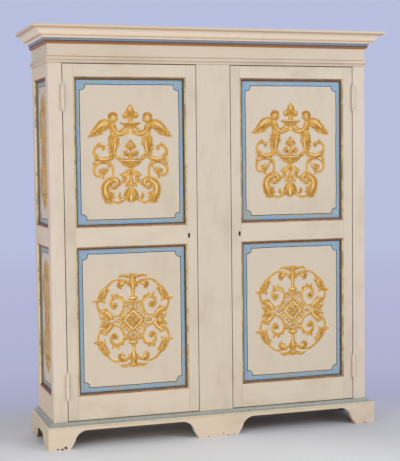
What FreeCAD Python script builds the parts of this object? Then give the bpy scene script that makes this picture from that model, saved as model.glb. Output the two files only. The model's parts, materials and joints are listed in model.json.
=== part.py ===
"""Painted kas cupboard: a tall two-door case on bracket feet, framed and panelled, with a moulded cornice.

Millimetres.  +Z is up, the doors face -Y, and +X is to the right of someone who faces the doors.
The origin lies on the floor, under the middle of the overall box.
"""
import os

import FreeCAD
import Part
from FreeCAD import Vector

# ---------------------------------------------------------------- overall
HEIGHT = 2150.0            # floor to the top of the cornice
WIDTH = 1750.0             # across the outer faces of the posts
DEPTH = 444.0              # face of the posts to the back
CORNICE_REACH = 84.0       # how far the cornice stands out in front and at the sides
PLINTH_REACH = 38.6        # the same for the plinth boards

# ---------------------------------------------------------------- posts, rails and frieze
POST_WIDTH = 71.0          # along the front
FRONT_POST_DEPTH = 60.0
REAR_POST_DEPTH = 58.0
CENTRE_STILE_WIDTH = 186.0
FRAME_THICKNESS = 32.0     # doors, side rails and frieze boards
DOOR_REST_GAP = 0.5        # the front frame is this much thicker than the doors
FRIEZE_HEIGHT = 154.5      # from the top of the door openings to the top board
BASE_RAIL_LAP = 15.0       # the bottom rail reaches this far down behind the plinth
TENON_LENGTH = 26.0
TENON_SHOULDER = 12.0
JOINT_SLACK = 1.0          # empty end of a mortise or panel groove

# ---------------------------------------------------------------- doors
DOOR_GAP = 2.5             # running gap all round each door
DOOR_STILE = 54.5
DOOR_TOP_RAIL = 64.5
DOOR_LOCK_RAIL = 98.0
DOOR_BOTTOM_RAIL = 125.0

# ---------------------------------------------------------------- panels and their mouldings
PANEL_DEPTH = 16.0         # frame face to panel face
PANEL_THICKNESS = 10.0
PANEL_TONGUE = 8.0         # how far a panel enters its groove
PANEL_MOULD_WIDTH = 15.0
PANEL_MOULD_PROUD = 1.0    # the moulding stands this much above the frame face
PANEL_MOULD_TOE = 3.0
PANEL_MOULD_LIP = 7.0      # flat of the outer bead
PANEL_MOULD_ROUND = 3.5    # rounding of that bead
PANEL_MOULD_DROP = 6.0     # from the top of the bead down to the hollow
PANEL_MOULD_STEP = 1.5     # ledge between bead and hollow

# ---------------------------------------------------------------- plinth
PLINTH_TOP = 110.0
FRONT_ARCH_BRIDGE = 16.0   # height of the board over an arch
SIDE_ARCH_BRIDGE = 48.0
CENTRE_FOOT_WIDTH = 220.0
END_FOOT_WIDTH = 113.0
SIDE_FRONT_FOOT = 130.0
SIDE_REAR_FOOT = 150.0
FRONT_BRACKET = 88.0       # reach of the curved bracket beside each foot
SIDE_BRACKET = 62.0
BRACKET_KNEE = 0.40        # share of the arch height where the slant ends
BRACKET_SLANT = 0.27       # share of the reach that the slant takes
BRACKET_BULGE = 0.17       # rise of the bracket's arc over its chord
CENTRE_BLOCK_WIDTH = 120.0

# plinth cap: a cove against the case, then a rounded nose
CAP_OVERHANG = 1.4
CAP_FILLET = 7.0
CAP_FILLET_HEIGHT = 3.0
CAP_COVE_REACH = 10.0
CAP_COVE_HEIGHT = 10.5
CAP_FALL = 1.5             # of the flat between cove and nose
CAP_NOSE_RADIUS = 7.0
CAP_EDGE = 2.0

# ---------------------------------------------------------------- frieze bead
BEAD_MARGIN = 2.0          # above the door opening
BEAD_ROUND_HEIGHT = 15.5
BEAD_REACH = 16.0
BEAD_EDGE = 3.0
BEAD_FILLET_HEIGHT = 11.0
BEAD_FILLET_REACH = 5.0
BEAD_QUIRK = 2.0

# ---------------------------------------------------------------- cornice
BED_COVE_REACH = 12.0
BED_COVE_HEIGHT = 13.0
BED_STEP = 2.0
BED_ROUND_REACH = 8.0
BED_ROUND_HEIGHT = 11.0
BED_EDGE = 2.0
CROWN_BEAD_REACH = 43.0
CROWN_BEAD_HEIGHT = 10.0
CROWN_SWELL_REACH = 25.0
CROWN_SWELL_HEIGHT = 33.0
CROWN_SWELL = 0.10         # rise over chord of the swelling face
CROWN_DRIP_HEIGHT = 6.0    # small hollow under the fillet
CROWN_FILLET = 13.0
CROWN_EDGE_BREAK = 2.0
CROWN_TOP_WIDTH = 26.0
CROWN_ABOVE_FRIEZE = 32.0  # the cornice's top edge over the frieze boards
BED_HEIGHT = BED_COVE_HEIGHT + BED_STEP + BED_ROUND_HEIGHT + BED_EDGE
TOP_BOARD_THICKNESS = 15.0
COVE = 0.20                # rise over chord of a quarter round or quarter hollow

# ---------------------------------------------------------------- inside
BACK_BOARD_THICKNESS = 14.0
BACK_BOARD_COUNT = 8
FLOOR_THICKNESS = 22.0
BATTEN_WIDTH = 60.0
BACK_RAIL_THICKNESS = 22.0
BACK_RAIL_HEIGHT = 45.0
PARTITION_THICKNESS = 20.0
SHELF_THICKNESS = 20.0
SHELF_SETBACK = 54.0       # from the case face to the front edge of a shelf
SHELF_HEIGHTS = (426.0, 851.0, 1306.0)    # shelf tops above the case floor
CLEAT_WIDTH = 20.0
CLEAT_HEIGHT = 22.0
STOP_WIDTH = 60.0
STOP_DEPTH = 18.0
STOP_OVERLAP = 14.0        # how far a stop reaches behind the door
STOP_FIXING = 30.0
STOP_POSITION = 420.0      # from the middle of the case

# ---------------------------------------------------------------- hinges
LOWER_HINGE_UP = 182.0     # door's lower end to the middle of the hinge
UPPER_HINGE_DOWN = 167.0   # door's upper end to the middle of the hinge
KNUCKLE_RADIUS = 8.0
KNUCKLE_LENGTH = 57.0      # each half
KNUCKLE_CLEARANCE = 1.0    # barrel to case face
KNUCKLE_GAP = 0.3          # between the two halves
PIN_RADIUS = 4.0
PIN_CLEARANCE = 0.05
PIN_IN_POST = 40.0
PIN_IN_DOOR = 44.0
FINIAL_NECK_RADIUS = 4.5
FINIAL_NECK_HEIGHT = 3.0
FINIAL_BALL_RADIUS = 5.5
FINIAL_TIP_HEIGHT = 6.0
FINIAL_TIP_RADIUS = 1.2
LEAF_THICKNESS = 2.2
LEAF_DEPTH = 26.0          # into the wood, behind the case face
LEAF_END = 6.0             # the leaf stops this far from the knuckle's ends

# ---------------------------------------------------------------- locks
KEYHOLE_UP_LOCK_RAIL = 43.0    # from the rail's lower edge to the middle of the keyhole
KEYHOLE_BACKSET = 46.0     # from the door's meeting edge
KEYHOLE_LENGTH = 25.0
KEYHOLE_SLOT = 6.0
KEYHOLE_HEAD_RADIUS = 5.0
LOCK_SETBACK = 3.0
LOCK_WIDTH = 66.0
LOCK_DEPTH = 16.0
LOCK_WALL = 2.0
LOCK_BELOW_KEY = 32.0
LOCK_ABOVE_KEY = 47.0
BOLT_LENGTH = 58.0
BOLT_THICKNESS = 10.0
BOLT_HEIGHT = 22.0
BOLT_ABOVE_KEY = 28.0      # key centre to bolt centre
BOLT_CLEARANCE = 0.3
BOLT_THROW = 15.0
BOLT_NOTCH_WIDTH = 12.0
BOLT_NOTCH_DEPTH = 7.0
KEEPER_SPARE = 8.0         # keeper beyond the tip of the thrown bolt
KEEPER_WALL = 3.0
KEEPER_PLAY = 1.5
KEEPER_INSET = 2.0         # from the centre stile's edge

# ---------------------------------------------------------------- worked out from the above
HALF = WIDTH / 2
FRONT = CORNICE_REACH - (DEPTH + CORNICE_REACH) / 2
FRONT_FRAME = FRAME_THICKNESS + DOOR_REST_GAP
BACK_BOARD_FACE = DEPTH - BACK_BOARD_THICKNESS
INNER_HALF = HALF - FRAME_THICKNESS
FRONT_ARCH_TOP = PLINTH_TOP - FRONT_ARCH_BRIDGE
SIDE_ARCH_TOP = PLINTH_TOP - SIDE_ARCH_BRIDGE
BASE_RAIL_BOTTOM = PLINTH_TOP - BASE_RAIL_LAP
CAP_NOSE_TOP = PLINTH_TOP + CAP_EDGE + CAP_NOSE_RADIUS
CAP_COVE_BASE = CAP_NOSE_TOP + CAP_FALL
CASE_FLOOR_TOP = CAP_COVE_BASE + CAP_COVE_HEIGHT + CAP_FILLET_HEIGHT
FRIEZE_TOP = HEIGHT - CROWN_ABOVE_FRIEZE
FRIEZE_BOTTOM = FRIEZE_TOP - FRIEZE_HEIGHT
BED_TOP = HEIGHT - CROWN_FILLET - CROWN_DRIP_HEIGHT - CROWN_SWELL_HEIGHT - CROWN_BEAD_HEIGHT
OPENING_OUTER = HALF - POST_WIDTH
OPENING_INNER = CENTRE_STILE_WIDTH / 2
DOOR_OUTER = OPENING_OUTER - DOOR_GAP
DOOR_INNER = OPENING_INNER + DOOR_GAP
DOOR_WIDTH = DOOR_OUTER - DOOR_INNER
DOOR_BOTTOM = CASE_FLOOR_TOP + DOOR_GAP
DOOR_TOP = FRIEZE_BOTTOM - DOOR_GAP
PANEL_HEIGHT = (DOOR_TOP - DOOR_BOTTOM - DOOR_TOP_RAIL - DOOR_LOCK_RAIL - DOOR_BOTTOM_RAIL) / 2
LOWER_PANEL = (DOOR_BOTTOM + DOOR_BOTTOM_RAIL, DOOR_BOTTOM + DOOR_BOTTOM_RAIL + PANEL_HEIGHT)
UPPER_PANEL = (LOWER_PANEL[1] + DOOR_LOCK_RAIL, DOOR_TOP - DOOR_TOP_RAIL)
SIDE_OPENING = (FRONT_POST_DEPTH, DEPTH - REAR_POST_DEPTH)
HINGE_X = OPENING_OUTER - DOOR_GAP / 2
HINGE_Y = FRONT - KNUCKLE_RADIUS - KNUCKLE_CLEARANCE
HINGE_HEIGHTS = (DOOR_BOTTOM + LOWER_HINGE_UP, DOOR_TOP - UPPER_HINGE_DOWN)
KEYHOLE_Z = LOWER_PANEL[1] + KEYHOLE_UP_LOCK_RAIL
BOLT_Z = KEYHOLE_Z + BOLT_ABOVE_KEY
SIDES = {"left": -1, "right": 1}
UP = Vector(0, 0, 1)


# ---------------------------------------------------------------- drawing helpers
def block(x_range, depth_range, z_range):
    """Box with its depths measured back from the case face."""
    (x0, x1), (d0, d1), (z0, z1) = sorted(x_range), sorted(depth_range), sorted(z_range)
    return Part.makeBox(x1 - x0, d1 - d0, z1 - z0, Vector(x0, FRONT + d0, z0))


def side_block(side, run, inset, z_range):
    """Box on a case side: run is measured back from the case face, inset in from the outer face."""
    return block([side * (HALF - step) for step in inset], run, z_range)


def door_block(side, run, depth_range, z_range):
    """Box in a door: run is measured from the hinged edge towards the meeting edge."""
    return block([side * (DOOR_OUTER - step) for step in run], depth_range, z_range)


def grown(span, by):
    return span[0] - by, span[1] + by


def section(points, place):
    """Closed face through the points, which place() sets in space.

    A third number bends the edge that ends at its point: rise over chord, to the left of the way there.
    """
    edges = []
    for (a0, b0, *_), (a1, b1, *bend) in zip(points, points[1:] + points[:1]):
        start, end = place(a0, b0), place(a1, b1)
        if bend:
            rise = bend[0]
            middle = place((a0 + a1) / 2 - (b1 - b0) * rise, (b0 + b1) / 2 + (a1 - a0) * rise)
            edges.append(Part.Arc(start, middle, end).toShape())
        else:
            edges.append(Part.LineSegment(start, end).toShape())
    return Part.Face(Part.Wire(edges))


def mitred(start, along, outward, length, reach, ends):
    """Plan of a straight run, out to its reach.

    ends tells how each end is cut: 1 for a mitre that grows outward, -1 for one that shrinks, 0 square.
    """
    plan = [(0, 0), (length, 0), (length + ends[1] * reach, reach), (-ends[0] * reach, reach)]
    return section(plan, lambda run, out: start + along * run + outward * out)


def moulding(points, start, along, outward, up, length, ends):
    """Straight moulding: each point of its section is a distance outward and a distance up."""
    reach = max(point[0] for point in points)
    low = min(point[1] for point in points)
    high = max(point[1] for point in points)
    bar = section(points, lambda out, rise: start - along * reach + outward * out + up * rise)
    plan = mitred(start + up * low, along, outward, length, reach, ends)
    return bar.extrude(along * (length + 2 * reach)).common(plan.extrude(up * (high - low)))


def case_runs():
    """Start, direction, outward direction, length and ends of a run in front and one along each side."""
    yield Vector(-HALF, FRONT, 0), Vector(1, 0, 0), Vector(0, -1, 0), WIDTH, (1, 1)
    for side in SIDES.values():
        yield Vector(side * HALF, FRONT, 0), Vector(0, 1, 0), Vector(side, 0, 0), DEPTH, (1, 0)


def around_case(points):
    """Moulding planted round the case, mitred at the two front corners."""
    return [moulding(points, start, along, outward, UP, length, ends)
            for start, along, outward, length, ends in case_runs()]


def around_panel(corner, right, width, height):
    """Four mitred lengths of panel moulding; corner is the lower left one on the panel face."""
    top = PANEL_DEPTH + PANEL_MOULD_PROUD
    points = [(0, 0), (PANEL_MOULD_WIDTH, 0), (PANEL_MOULD_WIDTH, PANEL_MOULD_TOE),
              (PANEL_MOULD_LIP + PANEL_MOULD_STEP, top - PANEL_MOULD_DROP, -COVE),
              (PANEL_MOULD_LIP, top - PANEL_MOULD_DROP), (PANEL_MOULD_LIP, top - PANEL_MOULD_ROUND),
              (PANEL_MOULD_LIP - PANEL_MOULD_ROUND, top, COVE), (0, top)]
    outward = right.cross(UP)
    across, upward = right * width, UP * height
    runs = [(corner, right, UP, width), (corner + upward, right, UP * -1, width),
            (corner, UP, right, height), (corner + across, UP, right * -1, height)]
    return [moulding(points, start, along, inward, outward, length, (-1, -1))
            for start, along, inward, length in runs]


def save(name, *solids):
    shape = solids[0] if len(solids) == 1 else Part.makeCompound(list(solids))
    shape.exportStep(f"parts/{name}.step")


# ---------------------------------------------------------------- doors
def keyhole(side):
    """Round head over a slot, through the lock stile, the tenon in it and the front of the lock."""
    x = side * (DOOR_INNER + KEYHOLE_BACKSET)
    top = KEYHOLE_Z + KEYHOLE_LENGTH / 2
    depth = FRAME_THICKNESS + LOCK_WALL
    slot = block((x - KEYHOLE_SLOT / 2, x + KEYHOLE_SLOT / 2), (0, depth),
                 (top - KEYHOLE_LENGTH, top - KEYHOLE_HEAD_RADIUS))
    head = Part.makeCylinder(KEYHOLE_HEAD_RADIUS, depth, Vector(x, FRONT, top - KEYHOLE_HEAD_RADIUS),
                             Vector(0, 1, 0))
    return slot.fuse(head)


def build_door(name, side):
    thickness = (0, FRAME_THICKNESS)
    groove = (PANEL_DEPTH, PANEL_DEPTH + PANEL_THICKNESS)
    opening = (DOOR_STILE, DOOR_WIDTH - DOOR_STILE)
    height = (DOOR_BOTTOM, DOOR_TOP)
    panels = {"lower": LOWER_PANEL, "upper": UPPER_PANEL}
    pockets = [door_block(side, grown(opening, PANEL_TONGUE + JOINT_SLACK), groove,
                          grown(span, PANEL_TONGUE + JOINT_SLACK)) for span in panels.values()]
    rails = {"bottom_rail": (DOOR_BOTTOM, LOWER_PANEL[0]), "lock_rail": (LOWER_PANEL[1], UPPER_PANEL[0]),
             "top_rail": (UPPER_PANEL[1], DOOR_TOP)}
    mortises = []
    for rail, span in rails.items():
        tenon = grown(span, -TENON_SHOULDER)
        body = door_block(side, opening, thickness, span)
        body = body.fuse(door_block(side, grown(opening, TENON_LENGTH), groove, tenon)).removeSplitter()
        mortises.append(door_block(side, grown(opening, TENON_LENGTH + JOINT_SLACK), groove, tenon))
        save(f"{name}_door_{rail}", body.cut(pockets + [keyhole(side)]))

    leaf_recesses = [hinge_leaf(side, centre, True) for centre in HINGE_HEIGHTS]
    hinge_stile = door_block(side, (0, DOOR_STILE), thickness, height)
    save(f"{name}_door_hinge_stile", hinge_stile.cut(pockets + mortises + leaf_recesses))
    lock_stile = door_block(side, (DOOR_WIDTH - DOOR_STILE, DOOR_WIDTH), thickness, height)
    save(f"{name}_door_lock_stile", lock_stile.cut(pockets + mortises + [keyhole(side)]))

    mouldings = []
    left_edge = min(side * (DOOR_OUTER - step) for step in opening)
    for place, span in panels.items():
        panel = door_block(side, grown(opening, PANEL_TONGUE), groove, grown(span, PANEL_TONGUE))
        save(f"{name}_door_{place}_panel", panel)
        corner = Vector(left_edge, FRONT + PANEL_DEPTH, span[0])
        mouldings += around_panel(corner, Vector(1, 0, 0), opening[1] - opening[0], PANEL_HEIGHT)
    save(f"{name}_door_panel_mouldings", *mouldings)


def build_lock(name, side):
    """Iron rim lock on the back of the door, its sliding bolt, and the keeper behind the centre stile."""
    edge = DOOR_INNER + LOCK_SETBACK
    outer_z = (KEYHOLE_Z - LOCK_BELOW_KEY, KEYHOLE_Z + LOCK_ABOVE_KEY)
    depths = (FRAME_THICKNESS, FRAME_THICKNESS + LOCK_DEPTH)
    case = block((side * edge, side * (edge + LOCK_WIDTH)), depths, outer_z)
    hollow = block((side * (edge + LOCK_WALL), side * (edge + LOCK_WIDTH - LOCK_WALL)),
                   grown(depths, -LOCK_WALL), grown(outer_z, -LOCK_WALL))
    middle = FRAME_THICKNESS + LOCK_DEPTH / 2
    bolt_depths = (middle - BOLT_THICKNESS / 2, middle + BOLT_THICKNESS / 2)
    bolt_z = (BOLT_Z - BOLT_HEIGHT / 2, BOLT_Z + BOLT_HEIGHT / 2)
    slot = block((side * edge, side * (edge + LOCK_WALL)), grown(bolt_depths, BOLT_CLEARANCE),
                 grown(bolt_z, BOLT_CLEARANCE))
    save(f"{name}_lock_case", case.cut([hollow, slot, keyhole(side)]))

    bolt = block((side * edge, side * (edge + BOLT_LENGTH)), bolt_depths, bolt_z)
    notch_x = DOOR_INNER + KEYHOLE_BACKSET
    notch = block((side * (notch_x - BOLT_NOTCH_WIDTH / 2), side * (notch_x + BOLT_NOTCH_WIDTH / 2)),
                  bolt_depths, (bolt_z[0], bolt_z[0] + BOLT_NOTCH_DEPTH))
    save(f"{name}_lock_bolt", bolt.cut(notch))

    stile_edge = OPENING_INNER - KEEPER_INSET
    room_z = grown(bolt_z, KEEPER_PLAY)
    room_back = bolt_depths[1] + KEEPER_PLAY
    span = (side * (edge - BOLT_THROW - KEEPER_SPARE), side * stile_edge)
    keeper = block(span, (FRONT_FRAME, room_back + KEEPER_WALL), grown(room_z, KEEPER_WALL))
    return keeper.cut(block(span, (FRONT_FRAME, room_back), room_z))


# ---------------------------------------------------------------- hinges
def knuckle_span(centre, on_door):
    """Height range of one half: the door's half rides above the post's."""
    if on_door:
        return centre + KNUCKLE_GAP / 2, centre + KNUCKLE_LENGTH
    return centre - KNUCKLE_LENGTH, centre - KNUCKLE_GAP / 2


def hinge_leaf(side, centre, on_door):
    """Flat leaf let into the edge of the door or the post, from the hinge line into the wood."""
    low, high = knuckle_span(centre, on_door)
    if on_door:
        across = (DOOR_OUTER - LEAF_THICKNESS, DOOR_OUTER)
    else:
        across = (OPENING_OUTER, OPENING_OUTER + LEAF_THICKNESS)
    return block([side * x for x in across], (HINGE_Y - FRONT, LEAF_DEPTH), (low + LEAF_END, high - LEAF_END))


def finial(radius_end, direction):
    """Turned end of a knuckle: neck, ball and a drawn-out tip, along +Z or -Z from z = 0."""
    neck, ball = FINIAL_NECK_RADIUS, FINIAL_BALL_RADIUS
    ball_z = FINIAL_NECK_HEIGHT + ball
    tip_z = ball_z + ball + FINIAL_TIP_HEIGHT
    points = [(0, 0), (radius_end, 0), (neck, FINIAL_NECK_HEIGHT), (ball, ball_z, -COVE / 2),
              (neck / 2, ball_z + ball * 0.9, -COVE / 2), (FINIAL_TIP_RADIUS, tip_z), (0, tip_z)]
    half = section(points, lambda out, rise: Vector(out, 0, rise * direction))
    return half.revolve(Vector(0, 0, 0), UP, 360)


def build_hinge_halves(side, on_door):
    halves = []
    for centre in HINGE_HEIGHTS:
        low, high = knuckle_span(centre, on_door)
        axis = Vector(side * HINGE_X, HINGE_Y, 0)
        barrel = Part.makeCylinder(KNUCKLE_RADIUS, high - low, axis + UP * low)
        end = finial(KNUCKLE_RADIUS, 1 if on_door else -1)
        end.translate(axis + UP * (high if on_door else low))
        pin_room = PIN_IN_DOOR if on_door else PIN_IN_POST
        hole_low = low if on_door else high - pin_room
        hole = Part.makeCylinder(PIN_RADIUS + PIN_CLEARANCE, pin_room + JOINT_SLACK * on_door,
                                 axis + UP * hole_low)
        halves.append(barrel.fuse([end, hinge_leaf(side, centre, on_door)]).cut(hole).removeSplitter())
    return halves


def build_hinge_pins():
    length = PIN_IN_POST + KNUCKLE_GAP + PIN_IN_DOOR
    pins = []
    for side in SIDES.values():
        for centre in HINGE_HEIGHTS:
            base = Vector(side * HINGE_X, HINGE_Y, centre - KNUCKLE_GAP / 2 - PIN_IN_POST)
            pins.append(Part.makeCylinder(PIN_RADIUS, length, base))
    save("hinge_pins", *pins)


# ---------------------------------------------------------------- case
def post_box(side, rear):
    run = (SIDE_OPENING[1], DEPTH) if rear else (0, SIDE_OPENING[0])
    return side_block(side, run, (0, POST_WIDTH), (0, FRIEZE_BOTTOM))


def side_joints(side):
    """Panel grooves and rail mortises that the posts and rails of one side share."""
    inset = (PANEL_DEPTH, PANEL_DEPTH + PANEL_THICKNESS)
    reach = PANEL_TONGUE + JOINT_SLACK
    pockets = [side_block(side, grown(SIDE_OPENING, reach), inset, grown(span, reach))
               for span in (LOWER_PANEL, UPPER_PANEL)]
    return pockets, inset


def build_side(name, side):
    pockets, inset = side_joints(side)
    spans = [(BASE_RAIL_BOTTOM, LOWER_PANEL[0]), (LOWER_PANEL[1], UPPER_PANEL[0]),
             (UPPER_PANEL[1], FRIEZE_BOTTOM)]
    rails, mortises = [], []
    for span in spans:
        tenon = grown(span, -TENON_SHOULDER)
        rail = side_block(side, SIDE_OPENING, (0, FRAME_THICKNESS), span)
        rail = rail.fuse(side_block(side, grown(SIDE_OPENING, TENON_LENGTH), inset, tenon)).removeSplitter()
        rails.append(rail.cut(pockets))
        mortises.append(side_block(side, grown(SIDE_OPENING, TENON_LENGTH + JOINT_SLACK), inset, tenon))
    save(f"{name}_side_rails", *rails)

    leaves = [hinge_leaf(side, centre, False) for centre in HINGE_HEIGHTS]
    front_cuts = pockets + mortises + leaves + [base_rail_tenons(JOINT_SLACK)]
    save(f"front_{name}_post", post_box(side, False).cut(front_cuts))
    rebate = block((-INNER_HALF, INNER_HALF), (BACK_BOARD_FACE, DEPTH), (0, FRIEZE_BOTTOM))
    save(f"rear_{name}_post", post_box(side, True).cut(pockets + mortises + [rebate]))

    mouldings = []
    right = Vector(0, side, 0)
    start_run = SIDE_OPENING[1] if side < 0 else SIDE_OPENING[0]
    for place, span in (("lower", LOWER_PANEL), ("upper", UPPER_PANEL)):
        panel = side_block(side, grown(SIDE_OPENING, PANEL_TONGUE), inset, grown(span, PANEL_TONGUE))
        save(f"{name}_side_{place}_panel", panel)
        corner = Vector(side * (HALF - PANEL_DEPTH), FRONT + start_run, span[0])
        mouldings += around_panel(corner, right, SIDE_OPENING[1] - SIDE_OPENING[0], PANEL_HEIGHT)
    save(f"{name}_side_mouldings", *mouldings)


def base_rail_tenons(slack=0.0):
    reach = OPENING_OUTER + TENON_LENGTH + slack
    height = grown((BASE_RAIL_BOTTOM, CASE_FLOOR_TOP), -TENON_SHOULDER)
    return block((-reach, reach), (PANEL_DEPTH, PANEL_DEPTH + PANEL_THICKNESS), height)


def build_front_frame():
    """Bottom rail, centre stile and frieze front, which frame the two door openings."""
    half = CENTRE_STILE_WIDTH / 2
    height = (CASE_FLOOR_TOP, FRIEZE_BOTTOM)
    depth = (PANEL_DEPTH, PANEL_DEPTH + PANEL_THICKNESS)
    across = grown((-half, half), -TENON_SHOULDER)
    mortise = block(across, depth, grown(height, TENON_LENGTH + JOINT_SLACK))
    stile = block((-half, half), (0, FRONT_FRAME), height)
    save("centre_stile", stile.fuse(block(across, depth, grown(height, TENON_LENGTH))).removeSplitter())
    rail = block((-OPENING_OUTER, OPENING_OUTER), (0, FRONT_FRAME), (BASE_RAIL_BOTTOM, CASE_FLOOR_TOP))
    save("bottom_rail", rail.fuse(base_rail_tenons()).removeSplitter().cut(mortise))
    frieze = block((-HALF, HALF), (0, FRONT_FRAME), (FRIEZE_BOTTOM, FRIEZE_TOP))
    save("frieze_front", frieze.cut(mortise))


def build_frieze_and_top():
    height = (FRIEZE_BOTTOM, FRIEZE_TOP)
    save("frieze_sides", *[side_block(side, (FRONT_FRAME, DEPTH), (0, FRAME_THICKNESS), height)
                           for side in SIDES.values()])
    depth = (BACK_BOARD_FACE - FRAME_THICKNESS, BACK_BOARD_FACE)
    frieze_back = block((-INNER_HALF, INNER_HALF), depth, height)
    save("frieze_back", frieze_back)
    save("top_board", block((-HALF, HALF), (0, DEPTH), (FRIEZE_TOP, FRIEZE_TOP + TOP_BOARD_THICKNESS)))
    return frieze_back


def build_back():
    """Upright boards in the rebates of the rear posts, from the rear rail up to the top board."""
    width = 2 * INNER_HALF / BACK_BOARD_COUNT
    foot = CASE_FLOOR_TOP - FLOOR_THICKNESS - BACK_RAIL_HEIGHT
    boards = []
    for index in range(BACK_BOARD_COUNT):
        left = -INNER_HALF + index * width
        boards.append(block((left, left + width), (BACK_BOARD_FACE, DEPTH), (foot, FRIEZE_TOP)))
    save("back_boards", *boards)


def build_floor():
    """Floor board between the bottom rail and the back, stiffened by battens on its underside."""
    underside = CASE_FLOOR_TOP - FLOOR_THICKNESS
    board = block((-INNER_HALF, INNER_HALF), (FRONT_FRAME, BACK_BOARD_FACE), (underside, CASE_FLOOR_TOP))
    posts = [post_box(side, rear) for side in SIDES.values() for rear in (False, True)]
    save("bottom_board", board.cut(posts))
    rail_face = BACK_BOARD_FACE - BACK_RAIL_THICKNESS
    rail = block((-OPENING_OUTER, OPENING_OUTER), (rail_face, BACK_BOARD_FACE),
                 (underside - BACK_RAIL_HEIGHT, underside))
    save("back_bottom_rail", rail)
    battens = []
    for x in (-OPENING_OUTER / 2, 0, OPENING_OUTER / 2):
        across = (x - BATTEN_WIDTH / 2, x + BATTEN_WIDTH / 2)
        battens.append(block(across, (FRONT_FRAME, rail_face), (BASE_RAIL_BOTTOM, underside)))
    save("bottom_battens", *battens)


def build_inside(frieze_back):
    half = PARTITION_THICKNESS / 2
    partition = block((-half, half), (FRONT_FRAME, BACK_BOARD_FACE), (CASE_FLOOR_TOP, FRIEZE_TOP))
    save("partition", partition.cut(frieze_back))
    posts = [post_box(side, rear) for side in SIDES.values() for rear in (False, True)]
    cleats = []
    for name, side in SIDES.items():
        shelves = []
        for top in (CASE_FLOOR_TOP + rise for rise in SHELF_HEIGHTS):
            under = top - SHELF_THICKNESS
            shelf = block((side * half, side * INNER_HALF), (SHELF_SETBACK, BACK_BOARD_FACE), (under, top))
            shelves.append(shelf.cut(posts))
            height = (under - CLEAT_HEIGHT, under)
            inset = (FRAME_THICKNESS, FRAME_THICKNESS + CLEAT_WIDTH)
            across = (side * half, side * (half + CLEAT_WIDTH))
            cleats.append(side_block(side, SIDE_OPENING, inset, height))
            cleats.append(block(across, (SHELF_SETBACK, BACK_BOARD_FACE), height))
        save(f"{name}_shelves", *shelves)
    save("shelf_cleats", *cleats)

    stops = []
    for side in SIDES.values():
        x = side * STOP_POSITION
        across = (x - STOP_WIDTH / 2, x + STOP_WIDTH / 2)
        depth = (FRONT_FRAME, FRONT_FRAME + STOP_DEPTH)
        stops.append(block(across, depth, (FRIEZE_BOTTOM - STOP_OVERLAP, FRIEZE_BOTTOM + STOP_FIXING)))
        stops.append(block(across, depth, (CASE_FLOOR_TOP, CASE_FLOOR_TOP + DOOR_GAP + STOP_OVERLAP)))
    save("door_stops", *stops)


# ---------------------------------------------------------------- plinth
def arch(start, end, bracket, top):
    """Outline of the open arch between two feet, with a curved bracket beside each foot."""
    knee_run, knee_rise = bracket * BRACKET_SLANT, top * BRACKET_KNEE
    return [(start, 0), (start + knee_run, knee_rise), (start + bracket, top, BRACKET_BULGE),
            (end - bracket, top), (end - knee_run, knee_rise, BRACKET_BULGE), (end, 0)]


def build_plinth():
    """Mitred boards on edge; the arches between their feet are measured from the case corners."""
    foot = END_FOOT_WIDTH - PLINTH_REACH
    middle = CENTRE_FOOT_WIDTH / 2
    front = [arch(*span, FRONT_BRACKET, FRONT_ARCH_TOP)
             for span in ((foot, HALF - middle), (HALF + middle, WIDTH - foot))]
    side = [arch(SIDE_FRONT_FOOT - PLINTH_REACH, DEPTH - SIDE_REAR_FOOT, SIDE_BRACKET, SIDE_ARCH_TOP)]
    for name, arches, run in zip(("front", "left", "right"), (front, side, side), case_runs()):
        start, along, outward, length, ends = run
        board = mitred(start, along, outward, length, PLINTH_REACH, ends).extrude(UP * PLINTH_TOP)
        for outline in arches:
            hole = section(outline, lambda distance, rise: start + along * distance + UP * rise)
            board = board.cut(hole.extrude(outward * PLINTH_REACH))
        save(f"plinth_{name}", board)
    half = CENTRE_BLOCK_WIDTH / 2
    save("centre_foot_block", block((-half, half), (0, FRONT_FRAME), (0, BASE_RAIL_BOTTOM)))

    nose = PLINTH_REACH + CAP_OVERHANG
    points = [(0, PLINTH_TOP), (nose, PLINTH_TOP), (nose, PLINTH_TOP + CAP_EDGE),
              (nose - CAP_NOSE_RADIUS, CAP_NOSE_TOP, COVE), (CAP_FILLET + CAP_COVE_REACH, CAP_COVE_BASE),
              (CAP_FILLET, CAP_COVE_BASE + CAP_COVE_HEIGHT, -COVE), (CAP_FILLET, CASE_FLOOR_TOP),
              (0, CASE_FLOOR_TOP)]
    save("plinth_cap", *around_case(points))


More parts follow.
